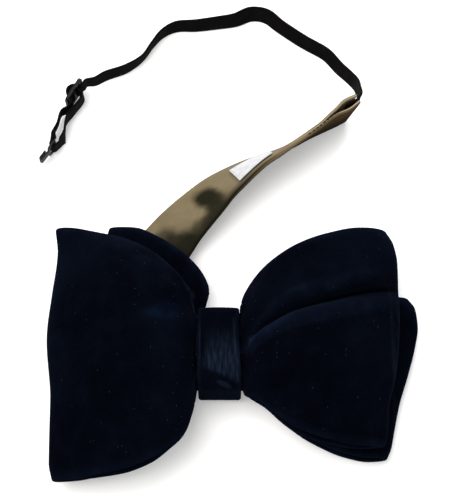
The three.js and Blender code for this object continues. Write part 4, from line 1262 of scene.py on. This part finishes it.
metal = black_metal()
for node, name in (("slider", "slider_frame"), ("hook", "strap_hook"), ("catch_eye", "catch_eye_plate")):
    fitting = softened_copy(node, name, metal)
    hand_over(fitting, "black_metal", node)
    print(name, len(fitting.data.polygons), "faces")

# %% [markdown]
# ## Stitches and lint
# A stitch is a short bit of thread with round ends. One Geometry Nodes tree lays such a bit at each
# point that it is given, turned along the point's own way, and dyes it. The points come from the
# seam at the band's open end, from the label's sewn end, and from the upper side of the velvet,
# where a little lint has settled.

# %% A tree that lays bits of thread
def bit_tree():
    tree = bpy.data.node_groups.new("bits_of_thread", "GeometryNodeTree")
    face = tree.interface
    face.new_socket("Geometry", in_out="INPUT", socket_type="NodeSocketGeometry")
    sockets = {}
    for name, kind in (("Length", "Float"), ("Thickness", "Float"), ("Thread", "Material")):
        sockets[name] = face.new_socket(name, in_out="INPUT", socket_type="NodeSocket" + kind).identifier
    face.new_socket("Geometry", in_out="OUTPUT", socket_type="NodeSocketGeometry")

    def node(kind, settings, inputs):
        made = tree.nodes.new(kind)
        for key, value in settings.items():
            setattr(made, key, value)
        for key, value in inputs.items():
            if isinstance(value, bpy.types.NodeSocket):
                tree.links.new(value, made.inputs[key])
            else:
                made.inputs[key].default_value = value
        return made.outputs

    given = node("NodeGroupInput", {}, {})
    thick = given["Thickness"]
    size = node("ShaderNodeCombineXYZ", {}, {"X": given["Length"], "Y": thick, "Z": thick})
    ball = node("GeometryNodeMeshUVSphere", {}, {"Segments": 8, "Rings": 6, "Radius": 0.5})
    bit = node("GeometryNodeTransform", {}, {"Geometry": ball["Mesh"], "Scale": size[0]})
    way = node("GeometryNodeInputNamedAttribute", {"data_type": "FLOAT_VECTOR"}, {"Name": "way"})
    turn = node("FunctionNodeAlignRotationToVector", {"axis": "X"}, {"Vector": way[0]})
    places = {"Points": given["Geometry"], "Instance": bit[0], "Rotation": turn[0]}
    laid = node("GeometryNodeInstanceOnPoints", {}, places)
    real = node("GeometryNodeRealizeInstances", {}, {"Geometry": laid[0]})
    smooth = node("GeometryNodeSetShadeSmooth", {}, {"Geometry": real[0]})
    dyed = node("GeometryNodeSetMaterial", {}, {"Geometry": smooth[0], "Material": given["Thread"]})
    node("NodeGroupOutput", {}, {"Geometry": dyed[0]})
    return tree, sockets


BIT_TREE, BIT_SOCKETS = bit_tree()


def thread_bits(name, places, ways, length, thickness, thread):
    """A piece with one bit of thread at each place in millimetres, laid along its way."""
    points = bpy.data.meshes.new(name + "_points")
    points.from_pydata((np.asarray(places) * MM).tolist(), [], [])
    way = points.attributes.new("way", "FLOAT_VECTOR", "POINT")
    way.data.foreach_set("vector", np.ascontiguousarray(ways, float).ravel())
    piece = put_in_scene(name, points)
    modifier = piece.modifiers.new("bits", "NODES")
    modifier.node_group = BIT_TREE
    modifier[BIT_SOCKETS["Length"]] = length * MM
    modifier[BIT_SOCKETS["Thickness"]] = thickness * MM
    modifier[BIT_SOCKETS["Thread"]] = thread
    seen = piece.evaluated_get(bpy.context.evaluated_depsgraph_get())
    mesh = bpy.data.meshes.new_from_object(seen)
    piece.modifiers.clear()
    piece.data = mesh
    print(f"{name}: {len(places)} bits, {len(mesh.polygons)} faces")
    return piece


def spun_thread(name, dark, light, twist):
    """Plied thread: its colour and its surface turn with the ply."""
    shader = Shader(name)
    vector, (x, y, z) = shader.place()
    ply = (x + y + z).wave(twist)
    fuzz = shader.noise(vector, 0.0004, 2.0, 3.0)
    return shader.finish({
        "Base Color": shader.blend(ply * 0.6 + fuzz * 0.4, dark, light),
        "Roughness": 0.9 - ply * 0.1,
        "Normal": shader.bump(ply, 0.00005),
        "Specular IOR Level": 0.05,
    })


# %% Stitches of the open end and of the label
SEAM_ROWS = (8.45, 10.2)
SEAM_COUNT = 9
SEAM_SHARE = 0.42
SEAM_BIT = (1.2, 0.5)
LABEL_BIT = (0.85, 0.3)

seam_places = np.linspace(*SEAM_ROWS, SEAM_COUNT)
seam_rings = np.array(route_rings(seam_places))
near_tip, far_tip = seam_rings[:, 0], seam_rings[:, 2 * FACE_STEPS + 5]
seam = near_tip * SEAM_SHARE + far_tip * (1 - SEAM_SHARE)
brown_thread = spun_thread("brown_thread", (0.0030, 0.0022, 0.0014), (0.0120, 0.0085, 0.0050), 0.0004)
stitches = thread_bits("seam_stitches", seam, route_at(seam_places)[1], *SEAM_BIT, brown_thread)
hand_over(stitches, "taupe_satin")

label_end = label_sheet()[2, 1:-1:2]
edge, heading, across, normal = route_at(np.array([LABEL["from_row"]]))
white_thread = spun_thread("white_thread", (0.26, 0.26, 0.27), (0.42, 0.42, 0.43), 0.0003)
stitches = thread_bits("label_stitches", label_end + normal * LABEL_THICK / 2,
                       np.repeat(across, len(label_end), axis=0), *LABEL_BIT, white_thread)
hand_over(stitches, "white_label")

# %% Lint on the velvet
LINT_COUNT = 90
LINT_SEED = 5
LINT_BIT = (0.8, 0.12)
LINT_ABOVE = 19

draw = np.random.default_rng(LINT_SEED)
along = np.roll(front_sheet, -1, axis=0) - np.roll(front_sheet, 1, axis=0)
across = np.gradient(front_sheet, axis=1)
up = unit(np.cross(along, across))
up *= np.sign(up[..., 2:])
i, j = np.nonzero((front_sheet[..., 2] > LINT_ABOVE) & (up[..., 2] > 0.5))
picked = draw.choice(len(i), LINT_COUNT, replace=False)
i, j = i[picked], j[picked]
angle = draw.uniform(0, math.pi, LINT_COUNT)[:, None]
ways = unit(along[i, j]) * np.cos(angle) + unit(across[i, j]) * np.sin(angle)
lint_thread = spun_thread("pale_lint", (0.0120, 0.0170, 0.0260), (0.0320, 0.0400, 0.0520), 0.0005)
lint = thread_bits("lint", front_sheet[i, j] + up[i, j] * FRONT_WALL / 2, ways, *LINT_BIT, lint_thread)
hand_over(lint, "navy_velvet")

# %% [markdown]
# ## What each sheet was cut from
# A made-up bow holds more cloth than it shows. Each piece of cloth is listed with the size that
# it was cut to and with what holds it. The sizes are estimates from the modelled loops. The two
# bows are taken as cut narrower towards the knot, to a share of the rectangle.

def area_of(sheet):
    """The area of a grid of points in square metres."""
    down, right = np.diff(sheet, axis=0)[:, :-1], np.diff(sheet, axis=1)[:-1]
    return np.linalg.norm(np.cross(down, right), axis=-1).sum() * MM * MM


CUTS = table(
    "piece grid width length share held on",
    (front_bow, front_sheet, 0.102, 0.306, 0.74, "gathered", "back_bow_velvet"),
    (back_bow, back_sheet, 0.078, 0.268, 0.74, "gathered", "neckband_satin"),
    (knot, knot_sheet(), 0.0165, 0.104, 1.0, "folded", "front_bow_velvet"),
    (neckband, band_rings[:, :FACE_STEPS + 3], 0.022, 0.218, 1.0, "folded", "knot_velvet"),
    (label, label_sheet(), 0.0138, 0.0185, 1.0, "laid", "neckband_satin"),
)
for cut in CUTS:
    width, length = cut["width"], cut["length"]
    flat_area = width * length * cut["share"]
    print(f"{cut['piece'].name}: modelled {area_of(cut['grid']):.5f} of {flat_area:.5f} square metres")
